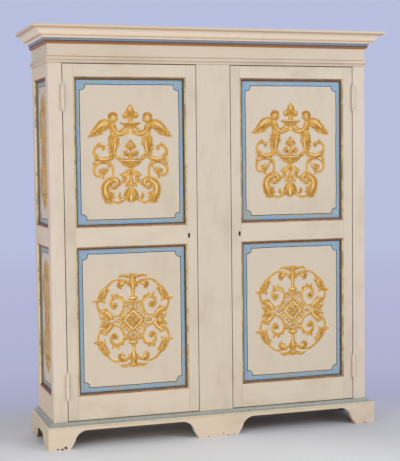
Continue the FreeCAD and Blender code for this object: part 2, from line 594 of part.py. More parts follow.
# ---------------------------------------------------------------- mouldings above the doors
def build_cornice():
    bottom = FRIEZE_BOTTOM + BEAD_MARGIN
    round_top = bottom + BEAD_ROUND_HEIGHT
    edge_top = round_top + BEAD_EDGE
    bead = [(0, bottom), (BEAD_QUIRK, bottom), (BEAD_REACH, round_top, COVE),
            (BEAD_REACH, edge_top), (BEAD_FILLET_REACH, edge_top),
            (BEAD_FILLET_REACH, edge_top + BEAD_FILLET_HEIGHT), (0, edge_top + BEAD_FILLET_HEIGHT)]
    save("frieze_bead", *around_case(bead))

    bed_bottom = BED_TOP - BED_HEIGHT
    cove_top = bed_bottom + BED_COVE_HEIGHT
    cove_reach = BED_STEP + BED_COVE_REACH
    bed_reach = cove_reach + BED_ROUND_REACH
    bed = [(0, bed_bottom), (BED_STEP, bed_bottom), (cove_reach, cove_top, -COVE),
           (cove_reach, cove_top + BED_STEP), (bed_reach, BED_TOP - BED_EDGE, COVE), (bed_reach, BED_TOP),
           (0, BED_TOP)]
    save("bed_moulding", *around_case(bed))

    fillet_base = HEIGHT - CROWN_FILLET
    crown = [(0, BED_TOP), (bed_reach, BED_TOP), (CROWN_BEAD_REACH, BED_TOP + CROWN_BEAD_HEIGHT, COVE),
             (CROWN_BEAD_REACH + CROWN_SWELL_REACH, fillet_base - CROWN_DRIP_HEIGHT, CROWN_SWELL),
             (CORNICE_REACH, fillet_base, -COVE), (CORNICE_REACH, HEIGHT - CROWN_EDGE_BREAK),
             (CORNICE_REACH - CROWN_EDGE_BREAK, HEIGHT, COVE), (CORNICE_REACH - CROWN_TOP_WIDTH, HEIGHT),
             (0, FRIEZE_TOP)]
    save("crown_moulding", *around_case(crown))


def main():
    os.makedirs("parts", exist_ok=True)
    keepers = []
    for name, side in SIDES.items():
        build_side(name, side)
        build_door(name, side)
        keepers.append(build_lock(name, side))
        save(f"{name}_door_hinge_halves", *build_hinge_halves(side, True))
    save("bolt_keepers", *keepers)
    save("hinge_post_halves", *[half for side in SIDES.values() for half in build_hinge_halves(side, False)])
    build_hinge_pins()
    build_front_frame()
    frieze_back = build_frieze_and_top()
    build_back()
    build_floor()
    build_inside(frieze_back)
    build_plinth()
    build_cornice()


main()
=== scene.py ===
"""Dress of the painted kas cupboard: brushed paint, banded mouldings and scroll ornament round the frame.

Metres, in the frame's own axes: +Z is up, the doors face -Y.  Ornament is drawn in millimetres, and so is
the size of every pattern in a finish.
"""
import json
import math
import random

import bmesh
import bpy
from mathutils import Matrix, Vector


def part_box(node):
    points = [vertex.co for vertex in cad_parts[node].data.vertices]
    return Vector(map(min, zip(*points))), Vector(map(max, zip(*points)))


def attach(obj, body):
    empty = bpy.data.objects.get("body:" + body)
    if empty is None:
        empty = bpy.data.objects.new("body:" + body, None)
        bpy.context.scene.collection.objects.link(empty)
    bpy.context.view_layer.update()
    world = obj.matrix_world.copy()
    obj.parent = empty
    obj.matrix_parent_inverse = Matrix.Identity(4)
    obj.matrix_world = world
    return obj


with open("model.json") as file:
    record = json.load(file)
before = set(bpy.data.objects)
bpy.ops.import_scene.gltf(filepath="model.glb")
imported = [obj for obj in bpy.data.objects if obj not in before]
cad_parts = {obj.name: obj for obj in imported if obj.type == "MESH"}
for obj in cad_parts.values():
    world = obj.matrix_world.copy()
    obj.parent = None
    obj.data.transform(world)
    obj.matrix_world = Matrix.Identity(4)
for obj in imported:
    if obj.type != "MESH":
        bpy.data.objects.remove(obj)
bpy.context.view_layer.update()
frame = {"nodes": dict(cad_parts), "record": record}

MM = 0.001
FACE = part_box("front_left_post")[0].y          # plane of the front frame
SIDES = {"left": -1, "right": 1}

# ------------------------ painted border of a panel
PANEL_TONGUE = 8 * MM        # of a panel, hidden in its groove
BORDER_SIDE = 33.5 * MM      # width of the blue, from the edge of the panel's opening
BORDER_END = 37 * MM
BORDER_STEP = 9 * MM         # straight steps in the corner
BORDER_ROUND = 19 * MM       # quarter-round of blue in the corner
BORDER_LINE = 4.4 * MM
BORDER_HALO = 9 * MM
BORDER_WANDER = 3 * MM       # how far the brush strays

# ------------------------ gloss, relief, wear and painted shade
PAINT_IOR = 1.48             # linseed oil paint
PINE_IOR = 1.5
# roughness of brushed cream paint, scuffed plinths, borders and bands, gilding and ornament, painted hinges
# and bare pine
SATIN, SCUFFED, RUBBED, SMOOTH, HANDLED, DRY_WOOD = 0.52, 0.55, 0.50, 0.46, 0.48, 0.72
BRUSH_RELIEF = 0.6 * MM
BUMP_STRENGTH = 0.6
RIDGES = (0.35, 0.65)        # in a noise pattern, from its hollows to its ridges
GLOSS_SPREAD = 0.07          # how much duller the ridges are than the rest

MOULD_DEPTH = 15.5 * MM      # what shows of a panel moulding, from its outer edge inwards
KEYHOLE_SHADE_RIMS = {0: 2.8 * MM, 2: 0.3 * MM}        # black rim round a keyhole, painted shade of the hole: at its sides and its ends
DOOR_EDGE_SHADE_AND_WEAR = 1.8 * MM         # dark strip along the edges of a door: painted shade of the door gaps, and wear
JOINT_CRACK = 1.6 * MM       # where a rail's shoulder meets its stile
FRIEZE_DIRT = 4.6 * MM       # height of the dirt above the bead of the frieze
RAIL_GAP_SHADE = 6.0 * MM         # and a painted shade line on the bottom rail, in the gap above the plinth cap
SCUFF_HEIGHT = 45 * MM       # the plinth is scuffed up to here
CASE_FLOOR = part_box("bottom_board")[0].z       # below it bare wood is painted nearly black: painted shade under the case, with a little dust
UNDERSIDE_SHADE_RISE = 30 * MM              # over this height the painted shade comes in
BACK_BOARDS = 8
BOARD_JOINT = 2.0 * MM       # half the dark joint between two boards of the back

# knocks along the feet of the plinth: place along it, height and size in millimetres
PLINTH_KNOCKS = {
    "front": ((-866, 6, 9), (-845, 3, 8), (-824, 10, 10), (-58, 0, 6), (55, 0, 7), (86, 0, 5), (859, 2, 6)),
    "left": ((150, 34, 12), (128, 8, 9), (196, 6, 8)),
    "right": ((-150, 4, 8),)}

# gilding of the mouldings from the outer edge inwards: on the uprights, then on the level lengths. The pale
# lip of the door's level lengths is painted highlight, and the dark inner ends painted shade over brown
# glaze
DOOR_GILT_AND_SHADING = (((0.0, "#8E7048"), (0.06, "#D6C08C"), (0.20, "#DECC9A"), (0.46, "#D6C28C"), (0.58, "#A08656"),
              (0.68, "#43352A"), (1.0, "#2C241C")),
             ((0.0, "#DCC4A0"), (0.10, "#9A7048"), (0.34, "#AE8458"), (0.50, "#8A6240"), (0.66, "#5A4030"),
              (0.84, "#523C2E"), (1.0, "#2E241E")))
# the pale uprights of the side mouldings are painted highlight, where their face is lit
SIDE_GILT_AND_SHADING = (((0.0, "#B9A276"), (0.08, "#F4E8C8"), (0.58, "#EADAB4"), (0.68, "#A0906C"), (0.84, "#8E8062"),
              (1.0, "#786A50")),
             ((0.0, "#D09C6C"), (0.12, "#9A5C2C"), (0.40, "#844A20"), (0.66, "#623818"), (1.0, "#2C1A0C")))
# brown glaze over the gilding: where it starts and ends in its pattern, and how strong it is
THIN_GLAZE = (0.46, 0.64, 0.50)
BROWN_GLAZE = (0.36, 0.56, 0.56)

# bands of the cornice and the plinth cap, from the bottom up: share of the height and colour; some are
# painted light and shade
# crown: painted highlights on its bead and swell, painted shade in tan bands where it is shadowed
CROWN_SHADING_BANDS = ((0.0, "#FBEFE0"), (0.14, "#F8EAD8"), (0.18, "#D2B694"), (0.27, "#F0D8BA"), (0.45, "#FAE8D2"),
               (0.66, "#F8E6CE"), (0.71, "#C4A888"), (0.78, "#CCB090"), (0.82, "#DAC6AC"), (1.0, "#D0BCA0"))
# bed moulding: brick and blue-grey paint, with painted shade in the dark line at their step and under the
# crown
BED_BANDS_AND_SHADE = ((0.0, "#B0763C"), (0.28, "#9C6434"), (0.42, "#7A4C2E"), (0.48, "#3A2C28"), (0.54, "#3C3434"),
             (0.61, "#868E98"), (0.92, "#98A2AC"), (1.0, "#4E423C"))
CAP_BANDS = ((0.0, "#D6C6AA"), (0.24, "#D0BE9E"), (0.36, "#A2A094"), (0.60, "#9CA09A"), (1.0, "#A2A59E"))

# ornament paints: dark, middle and light of each, and the width of their patches in millimetres
FRONT_PATCH, SIDE_PATCH = 22, 90
FRONT_PAINTS = (("oil stain round the ornament", "#E9C998", "#ECCFA1", "#F0D8AE"),
                ("raw sienna outline paint", "#8C5A1C", "#9E6A28", "#AE7C34"),
                ("ochre gold paint", "#D59A35", "#E1AB4C", "#ECBF6A"),
                ("burnt sienna shading paint", "#B27426", "#C0842F", "#CE9640"),
                ("pale straw highlight paint", "#EAC682", "#F1D094", "#F6DCA8"))
SIDE_PAINTS = (("oil stain of the sides", "#DCC49A", "#E2CAA2", "#E8D2AE"),
               ("umber outline paint of the sides", "#6E5A22", "#7C5A22", "#8C5826"),
               ("ochre gold paint of the sides", "#D4AC4C", "#DCAC4A", "#E49C3A"),
               ("burnt orange shading paint of the sides", "#A8702A", "#C07628", "#CE7624"),
               ("straw highlight paint of the sides", "#EACF98", "#EED09A", "#F2D09A"))

# ------------------------ view and studio
VIEW_PLACE = Vector((-1.9754, FACE - 5.7849, 1.4956))
VIEW_YAW, VIEW_PITCH, VIEW_ROLL = -18.134, -3.755, -0.636
VIEW_LENS = 90.47

BACKDROP = "#B9BFDE"
FAR_TONES = ((0.0, "#A3A5C0"), (0.12, "#B0B2D0"), (0.5, "#B4B7D8"), (1.0, BACKDROP))
FAR_REACH = (2.0, 14.0)                        # between these distances
FLOOR_TONE = "#E2E5EA"
FLOOR_SHADE = "#BEC0CC"
FLOOR_POOL_MIDDLE = (-0.42, -1.4, 0)                # middle of the painted pool of light on the floor, its palest spot
FLOOR_PALE = (0.9, 1.9)                        # the painted light turns to the floor's shade between these distances
FLOOR_SPREAD = (1.9, 2.6)                      # and into the backdrop between these
FLOOR_SIZE = 20                                # half its side

# name, place, size, power and colour
LAMPS = (("window_light", (3.2, -4.6, 3.9), 2.6, 122.0, "#F4FAFF"),
         ("fill_light", (-4.2, -3.6, 1.5), 3.0, 82.0, "#FFF8EE"),
         ("back_light", (0.5, 4.5, 3.5), 3.0, 45.0, "#FFFFFF"))
LIT_SPOT = Vector((0, 0, 1.0))
SKY_COLOUR, SKY_STRENGTH = (1.0, 0.985, 0.97, 1), 0.68


# ------------------------ helpers
def linear(hex_colour):
    """sRGB hex to the linear colour that a socket takes."""
    channels = [int(hex_colour[start:start + 2], 16) / 255 for start in (1, 3, 5)]
    return [c / 12.92 if c <= 0.04045 else ((c + 0.055) / 1.055) ** 2.4 for c in channels] + [1.0]


def add(tree, kind, feeds=(), stops=(), **settings):
    """Node with its settings and links. Feeds go to its inputs in order, or by name where they are a dict;
    a feed is a value, a hex colour, a socket, or a node whose first output is meant. Stops are a ramp's."""
    node = tree.nodes.new("ShaderNode" + kind)
    for name, value in settings.items():
        setattr(node, name, value)
    if not isinstance(feeds, dict):
        feeds = dict(zip([socket for socket in node.inputs if socket.enabled], feeds))
    for socket, feed in feeds.items():
        socket = node.inputs[socket] if isinstance(socket, str) else socket
        if isinstance(feed, bpy.types.Node):
            feed = next(output for output in feed.outputs if output.enabled)
        if isinstance(feed, bpy.types.NodeSocket):
            tree.links.new(feed, socket)
        else:
            socket.default_value = linear(feed) if isinstance(feed, str) else feed
    if stops:
        elements = node.color_ramp.elements
        while len(elements) < len(stops):
            elements.new(0.5)
        for element, (position, colour) in zip(elements, stops):
            element.position = position
            element.color = linear(colour)
    return node


def new_finish(name, roughness, **shader_values):
    """Material with its tree, its shader and the object coordinates that its patterns read."""
    material = bpy.data.materials.new(name)
    material.use_nodes = True
    tree = material.node_tree
    shader = tree.nodes["Principled BSDF"]
    shader.inputs["Roughness"].default_value = roughness
    for socket, value in shader_values.items():
        shader.inputs[socket.replace("_", " ")].default_value = value
    return material, tree, shader, add(tree, "TexCoord").outputs["Object"]


def dress(nodes, material):
    """Puts one finish on carried-over nodes."""
    for name in nodes:
        slots = frame["nodes"][name].data.materials
        slots.clear()
        slots.append(material)


def put(name, data):
    """New object at the origin of the scene."""
    thing = bpy.data.objects.new(name, data)
    bpy.context.collection.objects.link(thing)
    return thing


def mottle(tree, place, width, length=None, along="z", detail=4.0):
    """Cloudy pattern whose patches are width across and length along one axis, in millimetres."""
    stretch = [1 / (((length or width) if axis == along else width) * MM) for axis in "xyz"]
    drawn = add(tree, "Mapping", {"Vector": place, "Scale": stretch})
    return add(tree, "TexNoise", {"Vector": drawn, "Scale": 1.0, "Detail": detail, "Roughness": 0.62})


def laid_over(tree, under, over, where, start, end, share=1.0):
    """One colour laid over another: none where a pattern is at start, share of it where it is at end."""
    amount = add(tree, "MapRange", (where, start, end, 0.0, share), interpolation_type="SMOOTHSTEP")
    return add(tree, "Mix", (amount, under, over), data_type="RGBA")


def coat(tree, shader, colour, relief, depth, dulling=GLOSS_SPREAD):
    """Gives a shader its colour, and a relief that is depth metres high where its pattern is 1. What
    stands up is duller by dulling and the hollows glossier, or the other way round below 0."""
    bump = add(tree, "Bump", {"Height": relief, "Distance": depth, "Strength": BUMP_STRENGTH})
    roughness = shader.inputs["Roughness"]
    middle = roughness.default_value
    gloss = add(tree, "MapRange", (relief, *RIDGES, middle - dulling, middle + dulling))
    shown = next(output for output in colour.outputs if output.enabled)
    for output, socket in ((gloss.outputs["Result"], roughness), (shown, shader.inputs["Base Color"]),
                           (bump.outputs["Normal"], shader.inputs["Normal"])):
        tree.links.new(output, socket)


def distance_in(tree, along, middle, half):
    """How far inside the two ends of a span a coordinate lies."""
    from_middle = add(tree, "Math", (along, middle), operation="SUBTRACT")
    size = add(tree, "Math", (from_middle,), operation="ABSOLUTE")
    return add(tree, "Math", (half, size), operation="SUBTRACT")


def panel_edges(node, across):
    """Middle and half size of a panel's opening, along the panel and up."""
    low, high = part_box(node)
    middle, half = (low + high) / 2, (high - low) / 2
    return (middle[across], middle.z), (half[across] - PANEL_TONGUE, half.z - PANEL_TONGUE)


# ------------------------ paint, pine and what wears them
def brushed(tree, place, colour, along, patch="#B9A288", streak=0.24):
    """Oil paint brushed on and gone yellow: wide patches, brush streaks and small rubbed spots.
    The streaks are drawn 6 mm wide, coarser than a brush leaves them, so that they show."""
    aged = laid_over(tree, colour, patch, mottle(tree, place, 170, 340, along, 3.0), 0.46, 0.78, 0.42)
    streaks = mottle(tree, place, 6, 220, along, 5.0)
    streaked = laid_over(tree, aged, "#A8927A", streaks, 0.50, 0.82, streak)
    spots = mottle(tree, place, 11, 18, along, 6.0)
    return laid_over(tree, streaked, "#8C745C", spots, 0.66, 0.76, 0.35), streaks


def pine_grain(tree, place, along):
    """Planed softwood gone honey brown, with darker late wood, and nearly black under the case floor:
    painted shade there, with a little dust.
    Year rings are 7 mm apart, wider than slow-grown pine has them, so that they show."""
    tone = laid_over(tree, "#BB9C70", "#9E7D52", mottle(tree, place, 90, 900, along, 3.0), 0.35, 0.70)
    rings = mottle(tree, place, 7, 500, along, 6.0)
    grained = laid_over(tree, tone, "#7E5D38", rings, 0.50, 0.68, 0.55)
    height = add(tree, "SeparateXYZ", (place,)).outputs["Z"]
    # painted shade: nearly black below the case floor, with a little dust
    return laid_over(tree, grained, "#2B2019", height, CASE_FLOOR, CASE_FLOOR - UNDERSIDE_SHADE_RISE, 0.7), rings


def unpainted_inside(tree, place, painted, node, axis, along="z", bare=0.4 * MM):
    """Leaves bare pine on the wall of a piece that faces into the case, where no paint was ever put.
    Bare is how far from that wall the paint starts."""
    low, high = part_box(node)
    axes = add(tree, "SeparateXYZ", (place,))
    if axis == 0:
        out = add(tree, "Math", (axes.outputs["X"],), operation="ABSOLUTE")
        away = add(tree, "Math", (out, min(abs(low.x), abs(high.x))), operation="SUBTRACT")
    else:
        away = add(tree, "Math", (high.y, axes.outputs["Y"]), operation="SUBTRACT")
    pine, _ = pine_grain(tree, place, along)
    return laid_over(tree, painted, pine, away, bare + 0.4 * MM, bare)


def outside_only(node):
    """Leaves a piece bare but for the outside of the case."""
    low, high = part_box(node)
    return unpainted_inside, node, 0, "z", high.x - low.x - 1.0 * MM


def shade_and_wear_door_edges(tree, place, painted, side):
    """Dark strip along the edges of a door: painted shade of the gaps where it meets the frame, and wear
    from hands.
    """
    corners = [corner for stile in ("hinge", "lock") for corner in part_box(f"{side}_door_{stile}_stile")]
    axes = add(tree, "SeparateXYZ", (place,))
    reach = []
    for axis in (0, 2):
        start = min(corner[axis] for corner in corners)
        end = max(corner[axis] for corner in corners)
        reach.append(distance_in(tree, axes.outputs[axis], (start + end) / 2, (end - start) / 2))
    inside = add(tree, "Math", reach, operation="MINIMUM")
    wander = add(tree, "MapRange", (mottle(tree, place, 30), 0.3, 0.7, 0.4 * MM, -0.8 * MM))
    ragged = add(tree, "Math", (inside, wander), operation="ADD")
    # painted shade of the door gaps, and wear: dark strip along the door's edges
    return laid_over(tree, painted, "#4E3826", ragged, DOOR_EDGE_SHADE_AND_WEAR, 0.3 * DOOR_EDGE_SHADE_AND_WEAR, 0.9)


def cracked_joints(tree, place, painted, panel, across):
    """Paint cracked where the rails' shoulders meet the uprights, on both sides of a panel."""
    (middle, _), (half, _) = panel_edges(panel, across)
    axes = add(tree, "SeparateXYZ", (place,))
    shoulder = distance_in(tree, axes.outputs[across], middle, half)
    return laid_over(tree, painted, "#8A745C", shoulder, JOINT_CRACK, 0.0, 0.8)


def shaded_keyhole(tree, place, painted, side):
    """Keyhole painted black inside and in a rim round it: painted shade of the hole, with grease from the
    key.
    """
    openings = frame["record"]["physics"]["openings"]
    low, high = next(opening["box_m"] for opening in openings if opening["name"] == f"{side}_keyhole")
    axes = add(tree, "SeparateXYZ", (place,))
    reach = [distance_in(tree, axes.outputs[axis], (low[axis] + high[axis]) / 2,
                         (high[axis] - low[axis]) / 2 + stain) for axis, stain in KEYHOLE_SHADE_RIMS.items()]
    inside = add(tree, "Math", reach, operation="MINIMUM")
    # painted shade: black in the keyhole and round it
    return laid_over(tree, painted, "#120D0A", inside, 0.0, 0.6 * MM)


def ledge_dirt_and_shade(tree, place, painted, ledge, line, darkening="#7E6A54"):
    """A darker line where a board meets the ledge below it: old dirt above the frieze bead, painted shade
    in the gap above the plinth cap.
    """
    height = add(tree, "SeparateXYZ", (place,)).outputs["Z"]
    above = add(tree, "Math", (height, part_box(ledge)[1].z), operation="SUBTRACT")
    # darker line: dirt on the frieze, painted shade above the plinth cap
    return laid_over(tree, painted, darkening, above, line, 0.6 * line, 0.75)


def knocked_feet(tree, place, painted, along, knocks):
    """Paint scuffed along the floor and knocked off down to dark wood in a few places."""
    axes = add(tree, "SeparateXYZ", (place,))
    crumble = mottle(tree, place, 16, detail=5.0)
    low = add(tree, "MapRange", (axes.outputs["Z"], SCUFF_HEIGHT, 0.0, 0.0, 0.20))
    wear = add(tree, "Math", (crumble, low), operation="ADD")
    spot = add(tree, "CombineXYZ", {"X": axes.outputs[along.upper()], "Z": axes.outputs["Z"]})
    for knock_along, knock_z, size in knocks:
        away = add(tree, "VectorMath", (spot, (knock_along * MM, 0, knock_z * MM)), operation="DISTANCE")
        near = add(tree, "MapRange", (away, 1.6 * size * MM, 0.0, 0.0, 0.62))
        knock = add(tree, "Math", (near, crumble), operation="ADD")
        wear = add(tree, "Math", (wear, knock), operation="MAXIMUM")
    scuffed = laid_over(tree, painted, "#8E7760", wear, 0.74, 0.84, 0.8)
    return laid_over(tree, scuffed, "#30231A", wear, 0.84, 0.87)


# ------------------------ finishes
def oil_paint(name, colour, along, *wear, roughness=SATIN, patch="#B9A288"):
    """Oil paint brushed on old pine: satin, the brush marks just catch the light. Each wear is one of the
    functions above with what it needs."""
    material, tree, shader, place = new_finish(name, roughness, IOR=PAINT_IOR)
    paint, streaks = brushed(tree, place, colour, along, patch)
    for worn, *values in wear:
        paint = worn(tree, place, paint, *values)
    coat(tree, shader, paint, streaks, BRUSH_RELIEF)
    return material


def panel_paint(name, node, across, colour, blue, faded):
    """Cream field inside a blue painted border, whose corners step in to a quarter-round, with a grey line.
    The blue is fresh in patches and faded in others, most of all along the foot of a panel."""
    material, tree, shader, place = new_finish(name, RUBBED, IOR=PAINT_IOR)
    aged, streaks = brushed(tree, place, colour, "z", "#C4B294", 0.08)
    wander = mottle(tree, place, 110, detail=2.0)
    shaken = add(tree, "VectorMath", (wander.outputs["Color"], (0.5, 0.5, 0.5)), operation="SUBTRACT")
    small = add(tree, "VectorMath", (shaken, 2 * BORDER_WANDER), operation="SCALE")
    hand = add(tree, "VectorMath", (place, small), operation="ADD")
    axes = add(tree, "SeparateXYZ", (hand,))
    (middle, middle_z), (half, half_z) = panel_edges(node, across)
    reach = [distance_in(tree, axes.outputs[across], middle, half - BORDER_SIDE),
             distance_in(tree, axes.outputs["Z"], middle_z, half_z - BORDER_END)]
    steps, notches = [[add(tree, "Math", (way, depth), operation="SUBTRACT") for way in reach]
                      for depth in (BORDER_STEP, BORDER_STEP + BORDER_ROUND)]
    squares = [add(tree, "Math", (step, step), operation="MULTIPLY") for step in steps]
    square = add(tree, "Math", squares, operation="ADD")
    radius = add(tree, "Math", (square,), operation="SQRT")
    field = add(tree, "Math", (radius, BORDER_ROUND), operation="SUBTRACT")
    corners = [add(tree, "Math", pair, operation="MAXIMUM") for pair in zip(steps, reversed(notches))]
    for limit in reach + corners:
        field = add(tree, "Math", (field, limit), operation="MINIMUM")
    washed = laid_over(tree, blue, "#A6B9C4", mottle(tree, place, 24, detail=5.0), 0.42, 0.70, 0.6)
    fresh = laid_over(tree, washed, "#86AAD6", mottle(tree, place, 75, detail=3.0), 0.46, 0.72, 0.55)
    foot = add(tree, "MapRange", (axes.outputs["Z"], middle_z - 0.7 * half_z, middle_z - half_z, 0.0, 0.09))
    fading = add(tree, "Math", (mottle(tree, place, 120, detail=3.0), foot), operation="ADD")
    border = laid_over(tree, fresh, faded, fading, 0.45, 0.72, 0.85)
    halo = laid_over(tree, "#E0D5C2", aged, field, BORDER_LINE, BORDER_HALO)
    lined = laid_over(tree, "#4C4E54", halo, field, BORDER_LINE - 0.6 * MM, BORDER_LINE + 0.6 * MM)
    bordered = laid_over(tree, border, lined, field, -0.8 * MM, 0.6 * MM)
    coat(tree, shader, unpainted_inside(tree, place, bordered, node, 1 - across), streaks, 0.4 * MM)
    return material


def moulding_gilt(name, panels, across, gilt_and_shading, glaze):
    """Ochre gilding on the panel mouldings: pale gold on the uprights, browner on the level lengths,
    with dark glaze and painted shade in the hollow, and a painted highlight on the lip of the level
    lengths."""
    material, tree, shader, place = new_finish(name, SMOOTH, IOR=PAINT_IOR)
    (middle, low_z), (half, half_z) = panel_edges(panels[0], across)
    (_, high_z), _ = panel_edges(panels[1], across)
    axes = add(tree, "SeparateXYZ", (place,))
    side = distance_in(tree, axes.outputs[across], middle, half)
    off_rail = add(tree, "Math", (axes.outputs["Z"], (low_z + high_z) / 2), operation="SUBTRACT")
    either = add(tree, "Math", (off_rail,), operation="ABSOLUTE")
    end = distance_in(tree, either, (high_z - low_z) / 2, half_z)
    runs = []
    for inward, stops in zip((side, end), gilt_and_shading):
        share = add(tree, "Math", (inward, MOULD_DEPTH), operation="DIVIDE")
        runs.append(add(tree, "ValToRGB", (share,), stops))
    upright = add(tree, "Math", (side, end), operation="LESS_THAN")
    gilding = add(tree, "Mix", (upright, runs[1], runs[0]), data_type="RGBA")
    rubbing = mottle(tree, place, 14, detail=5.0)
    darkened = laid_over(tree, gilding, "#6E4C34", mottle(tree, place, 60, detail=3.0), *glaze)
    coat(tree, shader, laid_over(tree, darkened, "#B59B6C", rubbing, 0.48, 0.72, 0.30), rubbing, 0.3 * MM)
    return material


def banded_paint(name, node, bands, glaze="#6B5A4C", worn=0.30):
    """Bands of oil colour brushed along a moulding, under a rubbed glaze; on the cornice the bands are
    painted light and shade as well.
    """
    material, tree, shader, place = new_finish(name, RUBBED, IOR=PAINT_IOR)
    low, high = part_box(node)
    height = add(tree, "SeparateXYZ", (place,)).outputs["Z"]
    share = add(tree, "MapRange", (height, low.z, high.z))
    ramp = add(tree, "ValToRGB", (share,), bands)
    rubbing = mottle(tree, place, 28, detail=5.0)
    coat(tree, shader, laid_over(tree, ramp, glaze, rubbing, 0.50, 0.75, worn), rubbing, 0.3 * MM)
    return material


def bare_pine(name, along):
    """Planed softwood that was never painted: long grain, dull and dry."""
    material, tree, shader, place = new_finish(name, DRY_WOOD, IOR=PINE_IOR)
    coat(tree, shader, *pine_grain(tree, place, along), 0.4 * MM)
    return material


def boarded_pine(name, node, boards):
    """Planed pine boards set upright side by side: each has its own tone and grain, and the joints between
    them are shrunk open and full of dust."""
    material, tree, shader, place = new_finish(name, DRY_WOOD, IOR=PINE_IOR)
    low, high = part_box(node)
    across = add(tree, "SeparateXYZ", (place,)).outputs["X"]
    count = add(tree, "MapRange", (across, low.x, high.x, 0.0, boards))
    number = add(tree, "Math", (count,), operation="FLOOR")
    plank = add(tree, "TexWhiteNoise", (number,), noise_dimensions="1D")
    moved_on = add(tree, "VectorMath", (plank.outputs["Color"], (3.0, 3.0, 0.0), place),
                   operation="MULTIPLY_ADD")
    grained, rings = pine_grain(tree, moved_on, "z")
    toned = laid_over(tree, grained, "#6E4E2C", plank.outputs["Value"], 0.0, 1.0, 0.34)
    within = add(tree, "Math", (count,), operation="FRACT")
    off_middle = add(tree, "Math", (within, 0.5), operation="SUBTRACT")
    aside = add(tree, "Math", (off_middle,), operation="ABSOLUTE")
    joint = BOARD_JOINT * boards / (high.x - low.x)
    jointed = laid_over(tree, toned, "#2A1E14", aside, 0.5 - 1.6 * joint, 0.5 - 0.6 * joint, 0.9)
    coat(tree, shader, jointed, rings, 0.4 * MM)
    return material


def worn_iron(name, dark, light, roughness):
    """Forged iron, rubbed bright where hands and parts slide."""
    material, tree, shader, place = new_finish(name, roughness, Metallic=1.0)
    scale = mottle(tree, place, 8, detail=6.0)
    coat(tree, shader, laid_over(tree, dark, light, scale, 0.35, 0.70), scale, 0.3 * MM, -0.10)
    return material


def painted_iron(name):
    """Hinge iron under the same cream paint, a little grubby where hands reach it."""
    material, tree, shader, place = new_finish(name, HANDLED, IOR=PAINT_IOR)
    darkening = mottle(tree, place, 12, 30)
    coat(tree, shader, laid_over(tree, "#E0D0BC", "#B7A184", darkening, 0.48, 0.74, 0.5), darkening, 0.2 * MM)
    return material


def film_paint(name, dark, middle, light, patch):
    """Thin ornament colour, put on with a soft brush so that it pools and thins in patches."""
    material, tree, shader, place = new_finish(name, SMOOTH, IOR=PAINT_IOR)
    pools = mottle(tree, place, patch)
    ramp = add(tree, "ValToRGB", (pools,), ((0.34, dark), (0.50, middle), (0.66, light)))
    coat(tree, shader, ramp, pools, 0.1 * MM)
    return material


# ------------------------ ornament strokes
# A mark is its colour and its points (x, z, half width), right of the design's own middle line.
# One whose points all lie on that line is drawn once, the others are mirrored.
ORNAMENT_COLOURS = ("halo", "line", "gold", "shade", "light")
OUTLINE = 1.7                # brown line left round a gold stroke
HALO = 6.0                   # warm stain of oil round it
HIGHLIGHT = 0.4              # highlights come out this much broader
NARROW = 3.0                 # strokes up to this half width stay one colour
LAYER = 0.0018               # each stroke lies this much over the one before
FILM_FOOT = 0.1              # the film starts this far inside the panel
STROKE_STEPS = 5             # faces from one point to the next
HALO_STEPS = 3
HAND = 0.9                   # how far a stroke strays by hand
STEADY = 0.3                 # and at most this share of the way to its next point
TIP_DEPTH = 10               # half widths that a stroke reaches down, so that none ends over the panel
WELD = 0.0005                # points of one stroke that lie closer are one
THINNEST = 0.4               # half width that a narrowed stroke keeps
SPOT_TIP = 0.3               # half width of a round spot at its two ends


def disc(colour, x, z, radius, squash=1.0):
    """Round spot: a short stroke whose half width follows the circle."""
    turns = [math.radians(angle) for angle in range(0, 181, 30)]
    return colour, [(x - radius * math.cos(turn) * squash, z, max(radius * math.sin(turn), SPOT_TIP))
                    for turn in turns]


def brush_tip():
    """Section of a stroke: one millimetre each way along the panel, and far down from its top."""
    data = bpy.data.curves.new("brush_tip", "CURVE")
    data.dimensions = "2D"
    spline = data.splines.new("POLY")
    corners = ((-1, -TIP_DEPTH), (1, -TIP_DEPTH), (1, 0), (-1, 0))
    spline.points.add(len(corners) - 1)
    for point, (x, y) in zip(spline.points, corners):
        point.co = (x * MM, y * MM, 0, 1)
    spline.use_cyclic_u = True
    return put("brush_tip", data)


def by_hand(points, hand):
    """The same points as an unsteady hand sets them, never so far off that a short stroke folds over."""
    strayed = []
    for number, (x, z, half) in enumerate(points):
        beside = points[max(number - 1, 0):number] + points[number + 1:number + 2]
        stray = min(HAND, STEADY * min(math.dist((x, z), point[:2]) for point in beside))
        strayed.append((x + hand.uniform(-stray, stray), z + hand.uniform(-stray, stray), half))
    return strayed


def widened(points, more):
    """The same stroke with a wider or narrower brush."""
    return [(x, z, max(half + more, THINNEST)) for x, z, half in points]


def stroke_order(marks, middle, hand):
    """Colour, side and points of every stroke, in the order in which they are brushed on."""
    sides = []
    for colour, points in marks:
        if all(x == middle[0] for x, _, _ in points):
            sides.append((colour, 1, points))
        else:
            sides += [(colour, flip, by_hand(points, hand)) for flip in (1, -1)]
    order = [("halo", flip, widened(points, HALO)) for colour, flip, points in sides if colour == "gold"]
    for colour, flip, points in sides:
        if colour != "gold":
            order.append((colour, flip, widened(points, HIGHLIGHT) if colour == "light" else points))
            continue
        order.append(("line", flip, points))
        if max(half for _, _, half in points) > NARROW:
            order.append(("gold", flip, widened(points, -OUTLINE)))
    return order


def draw_stroke(data, colour, points, level, middle, flip):
    """Adds one stroke to a drawing, at its level over the panel."""
    spline = data.splines.new("BEZIER")
    spline.bezier_points.add(len(points) - 1)
    spline.resolution_u = HALO_STEPS if colour == "halo" else STROKE_STEPS
    spline.radius_interpolation = "CARDINAL"
    spline.material_index = ORNAMENT_COLOURS.index(colour)
    for knot, (x, z, half) in zip(spline.bezier_points, points):
        knot.co = ((x - middle[0]) * flip * MM, (z - middle[1]) * MM, level * MM)
        knot.handle_left_type = knot.handle_right_type = "AUTO"
        knot.radius = half


